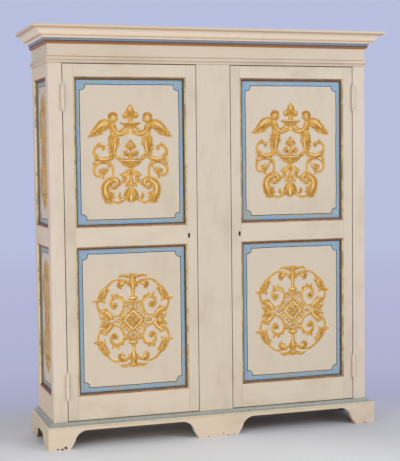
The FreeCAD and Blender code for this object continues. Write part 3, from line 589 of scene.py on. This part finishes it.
def paint_ornament(name, marks, middle, place, body, tip, paints):
    """Strokes of one design as thin closed films on a panel."""
    data = bpy.data.curves.new(name, "CURVE")
    data.dimensions = "3D"
    data.twist_mode = "Z_UP"
    data.bevel_mode = "OBJECT"
    data.bevel_object = tip
    data.use_fill_caps = True
    for paint in paints:
        data.materials.append(paint)
    for number, (colour, flip, points) in enumerate(stroke_order(marks, middle, random.Random(name)), 1):
        draw_stroke(data, colour, points, number * LAYER, middle, flip)
    drawing = put(name + "_drawing", data)
    bpy.context.view_layer.update()
    drawn = drawing.evaluated_get(bpy.context.evaluated_depsgraph_get())
    mesh = bpy.data.meshes.new_from_object(drawn)
    bpy.data.objects.remove(drawing)
    film = bmesh.new()
    film.from_mesh(mesh)
    for vertex in film.verts:
        vertex.co.z = max(vertex.co.z, -FILM_FOOT * MM)
    bmesh.ops.remove_doubles(film, verts=film.verts, dist=WELD * MM)
    bmesh.ops.recalc_face_normals(film, faces=film.faces)
    bmesh.ops.triangulate(film, faces=film.faces)
    film.normal_update()
    for face in film.faces:
        outward = -1 if max(vertex.co.z for vertex in face.verts) < 0 else 1
        if face.normal.z * outward < -0.5:      # a bend sharper than the brush is wide turned it over
            face.normal_flip()
    bmesh.ops.transform(film, matrix=place, verts=film.verts)
    film.to_mesh(mesh)
    film.free()
    mesh.name = name
    piece = put(name, mesh)
    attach(piece, body)


# ------------------------ designs
# Each stroke is written as its colour, then x, z and half width of every point, where m is the design's
# middle line. One point alone is a round spot.
UPPER_MIDDLE = (1, -6)       # of each design, in the millimetres that its strokes are written in
LOWER_MIDDLE = (2, -6)
SIDE_MIDDLE = (0, 0)
SIDE_FEET = {"upper": -206, "lower": -200}     # top of the foot bud
HEAD = (93, 177)             # middle of the figure's head
HEAD_SIZE = (27, 0.94)       # half its height, and how much narrower it is
DIAMOND = 88                 # half diagonal of the diamond's outer line
BEAD_LINE = 71               # and of its row of beads
BEADS_A_SIDE = 5
BEAD_SIZES = (7.4, 8.4)      # in turn
PETAL = ((4, 3), (11, 10), (20, 12), (28, 6), (33, 1))     # of the rosette: reach and half width
PETAL_VEIN = ((8, 1.2), (18, 2.2), (28, 1.2))
LYRES = ((1, 1.0), (-1, 1.06))                             # upright or hanging, and how broad

# upper door panels: a winged half figure that ends in a leaf skirt holds up the bowl
WING = """
gold 102 136 10, 120 141 22, 140 139 28, 165 122 25, 188 104 17, 206 91 10, 224 80 1.5
gold 150 108 6, 160 97 7, 170 89 1.5
gold 168 104 6, 180 92 7, 192 84 1.5
gold 186 98 6, 198 86 6, 209 80 1.5
line 122 122 1.4, 145 117 2, 170 107 2, 196 92 1.5, 216 82 0.8
line 140 160 1, 162 148 1.6, 182 127 1.4, 200 103 1
line 124 138 1, 146 133 1.5, 170 117 1.5, 192 100 1
shade 124 130 1.5, 148 124 3.4, 174 110 3, 198 94 1.2
shade 150 111 1, 158 102 2.2, 168 92 1
light 120 150 0.8, 140 153 2.2, 160 141 2.2, 178 122 1
light 130 144 0.8, 150 137 1.7, 168 124 0.8
"""
LEAF_SKIRT = """
gold 106 44 5, 117 38 7, 127 34 1.5
gold 102 26 5, 114 18 7, 124 13 1.5
gold 101 6 4, 110 0 6, 119 -4 1.5
gold 68 34 3, 64 40 5, 60 48 1.2
gold 89 84 20, 90 76 26, 90 60 28, 90 44 26, 92 24 20, 94 4 16, 96 -14 14, 100 -30 9, 102 -38 3
gold 66 82 5, 72 74 8, 78 66 2
gold 84 82 5, 89 72 8, 93 62 2
gold 104 82 5, 106 74 8, 108 64 2
line 90 62 1.2, 91 34 1.8, 95 2 1.8, 99 -26 1
line 76 64 1, 74 44 1.6, 80 16 1.6, 88 -10 1
line 104 62 1, 106 44 1.6, 103 20 1.5, 102 -4 1
shade 98 60 1.6, 99 36 3.2, 98 8 2.6, 100 -18 1
shade 112 60 1, 113 48 2.6, 109 32 1
light 82 58 1, 82 38 2.2, 86 10 1.9, 92 -12 0.8
"""
TORSO_AND_ARMS = """
gold 92 158 8, 94 148 12, 97 137 18, 93 118 18, 88 102 18, 87 86 20
shade 106 143 1.4, 108 124 3.2, 102 100 2.6
light 90 144 1, 88 124 2.6, 84 102 1.7
gold 62 104 4, 48 112 5, 34 122 5, 24 128 2
gold 97 132 8, 88 118 10, 74 102 11, 56 92 10, 36 96 9, 14 105 8
line 84 126 1, 74 114 1.6, 62 104 1.2
light 84 112 0.9, 70 99 2, 54 93 2, 34 97 0.9
"""

# round the middle of the head, calm and plain
HAIR_AND_FACE = """
shade -20 -2 3, -19 12 6, -10 19 7, 4 20 7, 16 13 7, 20 -4 5
line -22 6 1, -9 14 1.6, 8 13 1.6, 20 2 1
light -6 7 1.4, 0 4 3.6, 0 -10 3.6, 0 -18 1.1
line -11 3 0.8, -7.5 4.2 1.6, -4 3 0.8
line 11 3 0.8, 7.5 4.2 1.6, 4 3 0.8
line 0 1 0.7, 0.6 -5 1.3, 0 -7 0.8
line -5 -13 0.7, 0 -14 1.4, 5 -13 0.7
"""

# the heavy scrolls at the foot of the design, and two rings above them
TENDRILS = """
gold 24 -238 5, 45 -249 5, 70 -258 5, 94 -252 4, 104 -244 3
gold 60 -208 2.5, 63 -226 8, 52 -243 6
shade 62 -214 1, 62 -228 2.6, 55 -240 1
gold 84 -143 6, 70 -145 5, 55 -152 5, 43 -153 5, 32 -146 5, 27 -133 5, 37 -123 5, 48 -128 3.4
gold 39 -137 8
"""
HEAVY_SCROLL = """
gold 108 -208 5, 98 -213 6, 90 -210 1.5
gold 104 -226 5, 94 -231 6, 86 -229 1.5
gold 132 -240 7, 137 -254 5, 138 -264 1.2
gold 112 -244 7, 106 -256 5, 103 -266 1.2
gold 82 -144 11, 103 -145 18, 125 -158 20, 138 -180 20, 136 -204 22, 126 -225 26, 121 -244 20, 121 -260 7,
    121 -268 1.5
line 96 -138 1.2, 124 -147 1.8, 146 -172 2, 147 -206 2, 136 -238 1.6, 126 -260 1
line 100 -152 1, 120 -163 1.6, 129 -184 1.8, 125 -210 1.8, 116 -232 1.6, 118 -254 1
line 134 -196 1, 136 -218 1.6, 128 -244 1.2
shade 112 -137 1.4, 138 -156 3.2, 151 -184 3.6, 150 -212 3.4, 138 -240 2
shade 116 -205 1.4, 108 -222 3.4, 112 -244 2
light 104 -146 1.2, 124 -158 2.4, 136 -182 2.9, 133 -210 2.6, 124 -236 1
"""
SCROLL_CURL = """
gold 96 -138 13, 80 -145 14, 73 -160 12, 82 -176 9, 97 -183 7, 108 -178 4.4, 104 -168 2.5
gold 66 -156 5, 60 -164 5, 62 -173 1.5
line 92 -147 1, 81 -152 1.6, 79 -163 1.5, 88 -175 1
shade 68 -160 1.4, 74 -174 3.2, 90 -186 3, 104 -184 1.4
light 88 -140 1, 75 -150 2.2, 74 -162 1.7, 82 -172 0.8
"""
LOWER_RING = """
gold 160 -46 10, 138 -48 10, 116 -56 9, 102 -70 6, 97 -92 5.4, 97 -115 5.4, 101 -132 7
gold 158 -46 10, 178 -55 10, 191 -72 7, 196 -92 6, 190 -110 6, 176 -120 5.4, 158 -122 4.4
gold 184 -60 5, 194 -58 5, 201 -50 1.5
gold 148 -138 6, 150 -124 6, 146 -108 9, 148 -92 10, 148 -78 5
gold 146 -98 6, 136 -99 6, 128 -89 6, 132 -80 3.4
gold 150 -100 6, 159 -103 6, 167 -95 5.4, 164 -85 3.4
gold 110 -64 5, 117 -72 5, 124 -74 1.5
shade 148 -130 1, 147 -108 2.4, 149 -88 1
light 126 -53 1, 150 -50 2.2, 174 -56 1.9, 188 -72 0.9
line 112 -62 1, 138 -54 1.6, 168 -56 1.4, 184 -68 1
"""
UPPER_RING = """
gold 98 -22 10, 118 -34 12, 142 -39 13, 166 -36 11, 184 -24 8, 194 -4 6, 190 18 6, 176 33 6.4, 158 33 7,
    146 22 6.4, 150 8 4.4
gold 176 -32 6, 188 -36 6, 196 -44 1.5
gold 166 -26 5, 176 -18 6, 182 -8 1.5
gold 150 22 6, 141 28 6, 132 27 1.5
gold 168 32 6, 168 42 6, 161 49 1.5
line 110 -34 1, 136 -42 1.6, 166 -38 1.6, 186 -22 1
shade 112 -42 1.4, 138 -49 2.6, 164 -46 2.4, 184 -34 1
light 110 -28 1, 134 -35 2.4, 160 -34 2.2, 178 -25 0.9
"""

# one above another on the middle line
SCALLOP = """
gold m -182 4, m -187 18, m -197 28, m -212 35, m -230 40, m -238 38, m -245 28, m -253 16, m -261 3
line 4.15 -250 0.8, 9.1 -226 1.7, 10 -200 0.9
line 8 -250 0.8, 19 -226 1.7, 21 -200 0.9
line 11.15 -250 0.8, 27.1 -226 1.7, 30 -200 0.9
shade 8 -188 1.4, 20 -194 3, 31 -212 3.4, 36 -230 1.6
light m -256 1.2, m -247 4.5, m -232 5, m -218 1.4
gold m -119 6, m -128 7, m -138 9, m -148 15, m -158 22, m -167 29, m -172 29
gold 7 -169 5, 9 -176 5, 10 -182 1
gold 21 -167 6, 28 -174 5, 34 -179 1
line 12 -168 1, 9 -156 1.3, 5 -142 0.9
light m -168 1.2, m -158 1.8, m -136 1
"""
BIG_BOWL = """
gold 54 -32 5, 64 -32 9, 74 -21 8, 83 -7 6, 88 4 2
gold m -80 11, m -88 14, m -95 25, m -103 39, m -111 50, m -118 57, m -122 56
shade m -88 2, m -100 7, m -112 10, m -119 3
light 20 -112 0.8, 32 -116 1, 46 -118 0.8
gold m -31 62, m -41 62, m -52 54, m -62 45, m -70 35, m -76 22, m -81 11, m -85 11
line m -38 1.4, 30 -38 1.4, 60 -37 1
line m -49 1.4, 28 -49 1.4, 52 -47 1
shade m -60 1.4, 18 -60 3.4, 40 -55 1.4
light m -43.5 1.4, 24 -43.5 1.7, 54 -42 0.8
"""
BOWL_BUD = """
gold 6 -32 5, 11 -18 5, 15 -5 5, 25 4 5, 36 -1 5, 37 -13 4.4, 28 -17 4, 23 -9 3
shade 28 -7 4
gold m -32 9, m -18 8, m -6 4, m 8 3.4, m 16 11, m 24 27, m 32 28, m 42 21, m 52 12, m 60 4, m 65 1
gold 8 24 6, 17 28 9, 24 30 3
line m 58 0.9, m 42 1.7, m 22 0.9
line 6 50 0.9, 15 36 1.5, 20 26 0.9
light 5 54 0.8, 8 42 1.7, 8 32 0.8
"""
FINIAL = """
gold m 154 52, m 149 54, m 142 46, m 134 34, m 127 24, m 121 15, m 112 13, m 106 18, m 98 24
line m 146 1.3, 25 146 1.3, 49 148 0.9
shade m 138 1.4, 14 138 3, 32 141 1.2
light m 150 1, 24 150 1.3, 46 151 0.8
light m 116 0.8, 4 110 1.4, 9 102 0.8
gold 8 196 10, 20 192 15, 31 190 15, 40 191 9, 45 192 2
gold m 247 0.8, m 238 6, m 229 14, m 214 19, m 204 21, m 193 22, m 181 15, m 171 13, m 156 12
line m 206 1.2, 12 206 1.4, 21 209 0.9
line 20 184 1, 31 184 1.6, 40 189 0.9
shade m 202 4, 8 194 6, 6 182 3
shade 8 230 1, 14 219 2.6, 14 210 1
light m 234 1, m 224 2.9, m 213 1.2
light 24 198 0.9, 32 196 2, 39 193 0.8
"""

# lower door panels: a quarter of the wreath
LEAF_SHEATH = """
gold 17 174 7, 34 192 6.4, 60 203 5.4, 88 207 4.6, 113 199 4.4, 134 182 4.4, 150 167 4.4, 166 152 4.4,
    180 134 4.4, 190 108 4.8, 192 80 4.8, 185 54 5, 172 36 6
gold 137 174 3, 146 163 11, 155 148 17, 163 131 17, 169 115 14, 176 101 8, 180 93 3
gold 180 110 6, 192 104 7, 205 101 5.4, 217 106 1.5
gold 166 112 8, 161 102 7, 156 93 4, 152 87 1.4
gold 140 160 6, 134 153 5, 132 144 1.4
line 146 162 1, 159 139 1.8, 168 118 1.8, 176 100 1
line 142 156 1, 150 136 1.6, 160 114 1
shade 160 150 1.2, 169 133 3, 174 114 1.4
light 148 154 0.9, 154 140 2.3, 163 122 1
"""
EYE_SCROLL = """
gold 118 16 4, 104 17 4.8, 84 22 5, 68 34 5, 57 52 5.4, 53 74 6.4, 58 95 7.4, 72 111 8.4, 92 119 9,
    111 111 7.4, 121 92 6, 118 72 5.4, 106 62 5.4, 94 68 5, 91 80 4.4, 100 87 3.4
gold 104 76 12
shade 104 74 6
gold 104 120 5, 111 129 6, 114 140 1.2
gold 82 120 5, 86 131 6, 88 142 1.2
gold 62 106 6, 62 116 5, 68 124 1.4
gold 50 84 6, 42 90 5, 38 98 1.4
line 58 88 1, 72 106 1.7, 92 114 1.7, 110 104 1
light 58 72 0.9, 64 94 2, 80 110 2.2, 100 112 1
"""
RING_BUD = """
gold 36 201 5, 50 198 10, 64 190 16, 70 178 15, 67 167 8, 62 160 2
line 52 200 1, 68 194 1.7, 75 182 1.6, 68 172 1.4, 60 178 1
shade 74 194 1.4, 80 182 3.2, 74 168 1.6
light 50 194 1.2, 58 188 3.2, 62 180 1.4
gold 4 217 4, 22 222 6.4, 44 229 7, 62 228 5.4, 78 221 1.4
line 14 217 0.9, 34 223 1.5, 56 226 0.9
"""
TRUMPET = """
gold m 98 16, m 103 22, m 111 23, m 118 17, m 123 10, m 136 8, m 152 9, m 164 12, m 176 18, m 188 23,
    m 196 20, m 203 13, m 212 8, m 220 9, m 227 13, m 233 9, m 241 1
gold 6 228 4, 14 232 5, 23 237 1.4
gold 14 207 5
line m 99 1.6, 12 99 1.8, 21 101 1
line 7 190 1, 10 174 1.6, 6 152 1
line 16 194 1, 16 184 1.4, 13 172 1
shade 11 196 1.4, 17 189 3, 13 176 1.4
light m 128 0.9, m 150 2.2, m 172 3.2, m 188 1.2
light m 110 2.9, 8 110 3.4, 16 111 1.4
gold m 84 15, m 90 20, m 96 17
gold 12 88 4, 26 90 6, 38 93 1.5
gold 16 78 4, 28 80 6, 38 80 1.5
gold 28 66 3, 38 68 5, 46 66 1.5
"""
CURLED_LEAF = """
gold 174 56 4, 166 49 12, 152 39 17, 136 26 18, 124 10 16, 121 -2 14
gold 158 56 6, 146 58 6, 134 50 1.5
gold 138 20 7, 152 14 8, 166 12 7, 177 18 5, 181 28 1.5
gold 134 6 6, 150 2 7, 164 0 5, 172 4 1.5
line 168 46 1, 150 34 1.8, 133 18 1.8, 124 2 1
line 152 50 1, 136 38 1.6, 122 20 1
line 172 18 1, 156 15 1.5, 142 18 1
shade 150 24 1.2, 136 12 3, 130 -2 1.6
light 162 50 1, 146 42 2.9, 130 29 2.9, 119 12 1.2
"""

# eye of the rosette, and the tip on the outer corner of the diamond
EYE_AND_TIP = """
gold 16 16 5
gold 16 -16 5
line 0 0 6
light 0 0 3
gold 84 0 6, 91 0 9, 100 0 4
"""

# sides of the case; the foot bud is drawn from its own top
LYRE = """
gold 10 228 6, 42 224 10, 70 212 14, 84 190 16, 82 158 16, 72 124 16, 58 92 15, 42 62 13, 22 32 10
gold 80 206 7, 94 202 7, 104 188 1.5
gold 84 160 8, 98 148 8, 106 128 1.5
gold 70 112 8, 84 98 8, 92 78 1.5
gold 48 74 7, 62 60 7, 68 42 1.5
line 56 216 1.2, 80 190 2, 78 150 2, 66 108 2, 42 66 1.2
shade 74 206 1.4, 90 178 4, 86 140 4, 70 102 2
light 64 202 1.4, 72 172 4.6, 66 136 4.6, 52 100 1.8
gold 14 196 5, 36 190 10, 50 168 13, 48 136 13, 38 104 12, 26 74 10, 12 46 6
line 28 186 1, 44 160 1.8, 38 120 1.8, 24 82 1
shade 50 180 1.2, 56 154 3, 50 124 1.4
gold 0 204 8, 0 182 13, 0 158 20, 0 132 22, 0 106 16, 0 82 9, 0 50 9
line 6 168 1, 11 138 1.8, 6 106 1
light 0 172 1.4, 0 142 4, 0 108 1.4
"""
KNOT = """
gold 30 24 10, 48 22 12, 58 6 10, 54 -10 6
gold 30 -26 10, 46 -30 11, 56 -20 7
gold 0 58 5, 0 46 20, 0 28 38, 0 0 44, 0 -28 36, 0 -46 18, 0 -58 4
line 12 44 1, 24 18 2, 22 -14 2, 10 -42 1
shade 14 36 4, 26 6 13, 18 -30 6
light 0 42 1.4, 0 4 4, 0 -36 1.4
"""
CUP_AND_BUD = """
gold 0 230 54, 0 222 72, 0 212 62, 0 200 34, 0 190 14
line 0 220 1.6, 34 220 1.8, 64 222 1
gold 10 238 8, 34 244 14, 52 258 14, 56 276 8, 50 288 2
gold 0 232 16, 0 244 34, 0 262 40, 0 280 36, 0 294 26, 0 304 10, 0 309 2
line 10 240 1, 20 264 2, 10 296 1
shade 20 244 1.4, 30 266 5, 20 290 1.4
light 0 240 1.4, 0 266 5, 0 298 1.4
"""
FOOT_BUD = """
gold 0 0 40, 0 -8 58, 0 -16 36, 0 -24 14
line 0 -8 1.6, 28 -8 1.8, 52 -8 1
gold 8 -30 7, 28 -38 12, 42 -52 10, 40 -68 2
gold 0 -24 14, 0 -36 30, 0 -52 32, 0 -68 22, 0 -84 10, 0 -96 2
line 8 -32 1, 16 -54 2, 6 -84 1
shade 16 -36 1.4, 24 -54 4, 12 -74 1.4
light 0 -34 1.4, 0 -54 4, 0 -80 1.4
"""


def strokes(written, middle_x=0):
    """The marks that a text writes out."""
    marks = []
    for word in written.replace(",", "").split():
        if word in ORNAMENT_COLOURS:
            marks.append((word, []))
        else:
            marks[-1][1].append(middle_x if word == "m" else float(word))
    return [disc(colour, *numbers) if len(numbers) == 3 else
            (colour, list(zip(numbers[0::3], numbers[1::3], numbers[2::3]))) for colour, numbers in marks]


def moved(marks, along, up):
    """The same marks further along and up."""
    return [(colour, [(x + along, z + up, half) for x, z, half in points]) for colour, points in marks]


def upper_design():
    """Scrolls and rings, the winged figures on them, and bowls, bud and scallop on the middle line."""
    marks = strokes(TENDRILS + HEAVY_SCROLL + SCROLL_CURL + LOWER_RING + UPPER_RING)
    marks += strokes(WING + LEAF_SKIRT + TORSO_AND_ARMS) + [disc("gold", *HEAD, *HEAD_SIZE)]
    marks += moved(strokes(HAIR_AND_FACE), *HEAD)
    return marks + strokes(SCALLOP + BIG_BOWL + BOWL_BUD + FINIAL, UPPER_MIDDLE[0])


def diamond():
    """Beaded square on its corner: rows of beads, a pale line between brown ones, and a rosette."""
    def square(colour, reach, half):
        return [(colour, [(0, turn * reach, half), (reach / 2, turn * reach / 2, half), (reach, 0, half)])
                for turn in (1, -1)]

    marks = square("light", (DIAMOND + BEAD_LINE) / 2, 8) + square("line", DIAMOND, 1.6)
    for step in range(BEADS_A_SIDE + 1):
        run = BEAD_LINE * step / BEADS_A_SIDE
        turns = (1, -1) if step < BEADS_A_SIDE else (1,)
        marks += [disc("gold", run, turn * (BEAD_LINE - run), BEAD_SIZES[step % 2]) for turn in turns]
    marks += square("gold", 55, 4.4) + square("light", 47, 2.8) + square("line", 40, 1.6)
    for colour, points in (("gold", PETAL), ("shade", PETAL_VEIN)):
        marks += [(colour, [(across * reach, up * reach, half) for reach, half in points])
                  for across, up in ((1, 0), (0, 1), (0, -1))]
    return marks + strokes(EYE_AND_TIP)


def lower_design():
    """Four quarters of a wreath, the lower two upside down, round a diamond."""
    quarter = strokes(LEAF_SHEATH + EYE_SCROLL + RING_BUD + TRUMPET + CURLED_LEAF, LOWER_MIDDLE[0])
    marks = []
    for colour, points in quarter:
        marks += [(colour, points), (colour, [(x, 2 * LOWER_MIDDLE[1] - z, half) for x, z, half in points])]
    return marks + moved(diamond(), *LOWER_MIDDLE)


def side_design(foot):
    """Narrow upright ornament: bud and cup, two lyres tied by a knot, and a bud at the foot."""
    marks = [(colour, [(x * spread, z * turn, half) for x, z, half in points])
             for turn, spread in LYRES for colour, points in strokes(LYRE)]
    return marks + strokes(KNOT + CUP_AND_BUD) + moved(strokes(FOOT_BUD), 0, foot)


# ------------------------ put together
def dress_case():
    """Finishes of the fixed case, its mouldings and its feet."""
    for nodes, where, colour, along, *wear in (
            (["front_left_post", "front_right_post"], "the front posts", "#DBCCBA", "z",
             (unpainted_inside, "front_left_post", 0)),
            (["rear_left_post", "rear_right_post"], "the outside of the rear posts", "#DBCCBA", "z",
             outside_only("rear_left_post")),
            (["centre_stile"], "the centre stile", "#D6C8B4", "z", (unpainted_inside, "centre_stile", 1)),
            (["left_side_rails", "right_side_rails"], "the side rails", "#DFCAB3", "y",
             (cracked_joints, "left_side_lower_panel", 1), (unpainted_inside, "left_side_rails", 0, "y")),
            (["frieze_bead"], "the bead of the frieze", "#DCCAB4", "x")):
        dress(nodes, oil_paint(f"cream oil paint on {where}", colour, along, *wear))
    for node, where, colour, along, *darkening in (
            ("frieze_front", "the front of the frieze", "#D7C7B2", "x", "frieze_bead", FRIEZE_DIRT),
            ("frieze_sides", "the sides of the frieze", "#D7C7B2", "y", "frieze_bead", FRIEZE_DIRT),
            # painted shade in the gap between the doors and the plinth cap
            ("bottom_rail", "the bottom rail", "#DCCAB4", "x", "plinth_cap", RAIL_GAP_SHADE, "#3E2C20")):
        dress([node], oil_paint(f"cream oil paint on {where}", colour, along, (ledge_dirt_and_shade, *darkening),
                                patch="#C3AE90"))
    for side, knocks in PLINTH_KNOCKS.items():
        look, colour, along, *bare = "knocked", "#DCCAB4", "x"
        if side in SIDES:
            # the bare cheeks of the side plinths go nearly black below the case floor: painted shade
            look, colour, along, *bare = "scuffed", "#CEC0A6", "y", outside_only("plinth_left")
        dress([f"plinth_{side}"], oil_paint(f"{look} cream paint on the {side} plinth", colour, along,
                                            (knocked_feet, along, knocks), *bare, roughness=SCUFFED))
    # painted light and shade along the cornice, in bands up its profile
    dress(["crown_moulding"], banded_paint("cream oil paint shaded along the cornice", "crown_moulding",
                                           CROWN_SHADING_BANDS, "#C4AE94", 0.18))
    dress(["bed_moulding"], banded_paint("brick and blue-grey bands of the cornice", "bed_moulding",
                                         BED_BANDS_AND_SHADE))
    dress(["plinth_cap"], banded_paint("blue-grey paint with a tan nose", "plinth_cap", CAP_BANDS))
    dress(["hinge_post_halves"], painted_iron("painted iron of the post hinges"))
    dress(["hinge_pins"], worn_iron("oiled steel of the pins", "#6E6A63", "#9A958C", 0.30))
    dress(["bolt_keepers"], worn_iron("forged iron of the keepers", "#2A2724", "#4A453F", 0.55))
    dress(["partition"], bare_pine("planed pine with upright grain", "z"))
    dress(["back_boards"], boarded_pine("planed pine boards of the back", "back_boards", BACK_BOARDS))
    dress(["centre_foot_block", "back_bottom_rail", "frieze_back", "top_board", "bottom_board",
           "left_shelves", "right_shelves", "door_stops"],
          bare_pine("planed pine with level grain", "x"))
    dress(["bottom_battens", "shelf_cleats"], bare_pine("planed pine with grain front to back", "y"))


def dress_half(side):
    """Finishes of one door, its lock and the panels of the same side."""
    door = f"{side}_door"
    # door edges darkened as painted shade of the gaps, and wear
    rubbed = (shade_and_wear_door_edges, side)
    # the lock stile gets its keyhole painted black as shade
    for stile, *keyhole in (("hinge",), ("lock", (shaded_keyhole, side))):
        node = f"{door}_{stile}_stile"
        dress([node], oil_paint(f"cream oil paint on the {side} {stile} stile", "#D7C9B6", "z", rubbed,
                                *keyhole, (unpainted_inside, node, 1)))
    dress([f"{door}_{place}_rail" for place in ("top", "lock", "bottom")],
          oil_paint(f"cream oil paint on the {side} rails", "#D9CBB6", "x",
                    (cracked_joints, f"{door}_lower_panel", 0), rubbed,
                    (unpainted_inside, f"{door}_lock_rail", 1, "x")))
    dress([f"{door}_hinge_halves"], painted_iron(f"painted iron of the {side} hinges"))
    dress([f"{side}_lock_case"], worn_iron(f"forged iron of the {side} lock", "#151311", "#2A2622", 0.62))
    dress([f"{side}_lock_bolt"], worn_iron(f"filed iron of the {side} bolt", "#5A554E", "#8A847A", 0.38))
    for part, across, mouldings, gilt_and_shading, blue, faded in (
            ("door", 0, "door_panel_mouldings", DOOR_GILT_AND_SHADING, "#8AA6BA", "#A3A498"),
            # the sides' greyer blue is the border with painted shade from the moulding over it
            ("side", 1, "side_mouldings", SIDE_GILT_AND_SHADING, "#A4AAA6", "#A29E90")):
        panels = [f"{side}_{part}_{place}_panel" for place in ("lower", "upper")]
        for node in panels:
            dress([node], panel_paint(f"bordered paint of {node}", node, across, "#D5C6B2", blue, faded))
        glaze = BROWN_GLAZE if (side, part) == ("right", "door") else THIN_GLAZE
        dress([f"{side}_{mouldings}"],
              moulding_gilt(f"gilding of the {side} {part} mouldings", panels, across, gilt_and_shading, glaze))


def facing(node, outward, shift=(0, 0), tilt=0.0):
    """Place of a drawing on a panel's shown face, shifted in millimetres and turned in degrees."""
    low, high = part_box(node)
    centre = (low + high) / 2
    for axis in range(3):
        if outward[axis]:
            centre[axis] = (high if outward[axis] > 0 else low)[axis]
    up = Vector((0, 0, 1))
    right = up.cross(outward)
    centre += right * shift[0] * MM + up * shift[1] * MM
    turn = Matrix((right, up, outward)).transposed().to_4x4()
    return Matrix.Translation(centre) @ turn @ Matrix.Rotation(math.radians(tilt), 4, "Z")


def paint_panels():
    """Both designs on each door and the upright one on the sides of the case."""
    front_paints = [film_paint(*paint, FRONT_PATCH) for paint in FRONT_PAINTS]
    side_paints = [film_paint(*paint, SIDE_PATCH) for paint in SIDE_PAINTS]
    tip = brush_tip()
    upper, lower = upper_design(), lower_design()
    for side, place, marks, middle, shift, tilt in (
            ("left", "upper", upper, UPPER_MIDDLE, (1, -6), 0.0),
            ("right", "upper", upper, UPPER_MIDDLE, (-6, 4), -0.7),
            ("left", "lower", lower, LOWER_MIDDLE, (2, -6), 0.0),
            ("right", "lower", lower, LOWER_MIDDLE, (2, -2), 0.0)):
        paint_ornament(f"{side}_door_{place}_ornament", marks, middle,
                       facing(f"{side}_door_{place}_panel", Vector((0, -1, 0)), shift, tilt),
                       f"{side}_door", tip, front_paints)
    for side, sign in SIDES.items():
        for place, foot in SIDE_FEET.items():
            paint_ornament(f"{side}_side_{place}_ornament", side_design(foot), SIDE_MIDDLE,
                           facing(f"{side}_side_{place}_panel", Vector((sign, 0, 0))),
                           "carcass", tip, side_paints)
    bpy.data.objects.remove(tip)


# ------------------------ studio
def looked_at(tree):
    """Share of a ray that shows the backdrop: seen straight on, in a shiny face or through a clear one."""
    rays = add(tree, "LightPath")
    share = 0.0
    for kind in ("Camera", "Glossy", "Transmission"):
        share = add(tree, "Math", (rays.outputs[f"Is {kind} Ray"], share), operation="MAXIMUM")
    return share


def build_floor():
    """Pale studio floor with a painted pool of light, that turns into the backdrop colour further off."""
    shape = bmesh.new()
    bmesh.ops.create_grid(shape, x_segments=1, y_segments=1, size=FLOOR_SIZE)
    mesh = bpy.data.meshes.new("floor")
    shape.to_mesh(mesh)
    shape.free()
    floor = put("floor", mesh)
    material, tree, shader, place = new_finish("pale matt studio floor", 0.8, Specular_IOR_Level=0.1)
    distance = add(tree, "VectorMath", (place, FLOOR_POOL_MIDDLE), operation="DISTANCE")
    # painted pool of light: pale round its middle, darker further out
    near = laid_over(tree, FLOOR_TONE, FLOOR_SHADE, distance, *FLOOR_PALE)
    tree.links.new(near.outputs["Result"], shader.inputs["Base Color"])
    far = add(tree, "MapRange", (distance, *FLOOR_SPREAD), interpolation_type="SMOOTHSTEP")
    seen = add(tree, "Math", (far, looked_at(tree)), operation="MULTIPLY")
    share = add(tree, "MapRange", (distance, *FAR_REACH))
    # the far floor glows in the backdrop's colours, darker nearer the case
    glow = add(tree, "Emission", {"Color": add(tree, "ValToRGB", (share,), FAR_TONES), "Strength": 1.0})
    both = add(tree, "MixShader", (seen, shader, glow))
    tree.links.new(both.outputs[0], tree.nodes["Material Output"].inputs["Surface"])
    mesh.materials.append(material)


def build_lights():
    """A large cool soft lamp high at the right front, a weak warm one at the left, and an even sky."""
    for name, place, size, power, colour in LAMPS:
        lamp = bpy.data.lights.new(name, "AREA")
        lamp.shape = "SQUARE"
        lamp.size = size
        lamp.energy = power
        lamp.color = linear(colour)[:3]
        holder = put(name, lamp)
        holder.location = place
        holder.rotation_euler = (LIT_SPOT - Vector(place)).to_track_quat("-Z", "Y").to_euler()
    world = bpy.data.worlds.new("studio")
    world.use_nodes = True
    tree = world.node_tree
    sky = tree.nodes["Background"]
    sky.inputs["Color"].default_value = SKY_COLOUR
    sky.inputs["Strength"].default_value = SKY_STRENGTH
    shown = add(tree, "Background", {"Color": BACKDROP, "Strength": 1.0})
    both = add(tree, "MixShader", (looked_at(tree), sky, shown))
    tree.links.new(both.outputs[0], tree.nodes["World Output"].inputs["Surface"])
    bpy.context.scene.world = world


def place_camera():
    """Long lens a little left of the middle, just above the keyholes, looking slightly down."""
    camera = bpy.data.cameras.new("view")
    camera.lens = VIEW_LENS
    holder = put("view", camera)
    pose = Matrix.Translation(VIEW_PLACE)
    for angle, axis in ((VIEW_YAW, "Z"), (90 + VIEW_PITCH, "X"), (VIEW_ROLL, "Z")):
        pose = pose @ Matrix.Rotation(math.radians(angle), 4, axis)
    holder.matrix_world = pose
    bpy.context.scene.camera = holder


place_camera()
build_floor()
build_lights()
bpy.context.scene.view_settings.view_transform = "Standard"
dress_case()
for half in SIDES:
    dress_half(half)
paint_panels()
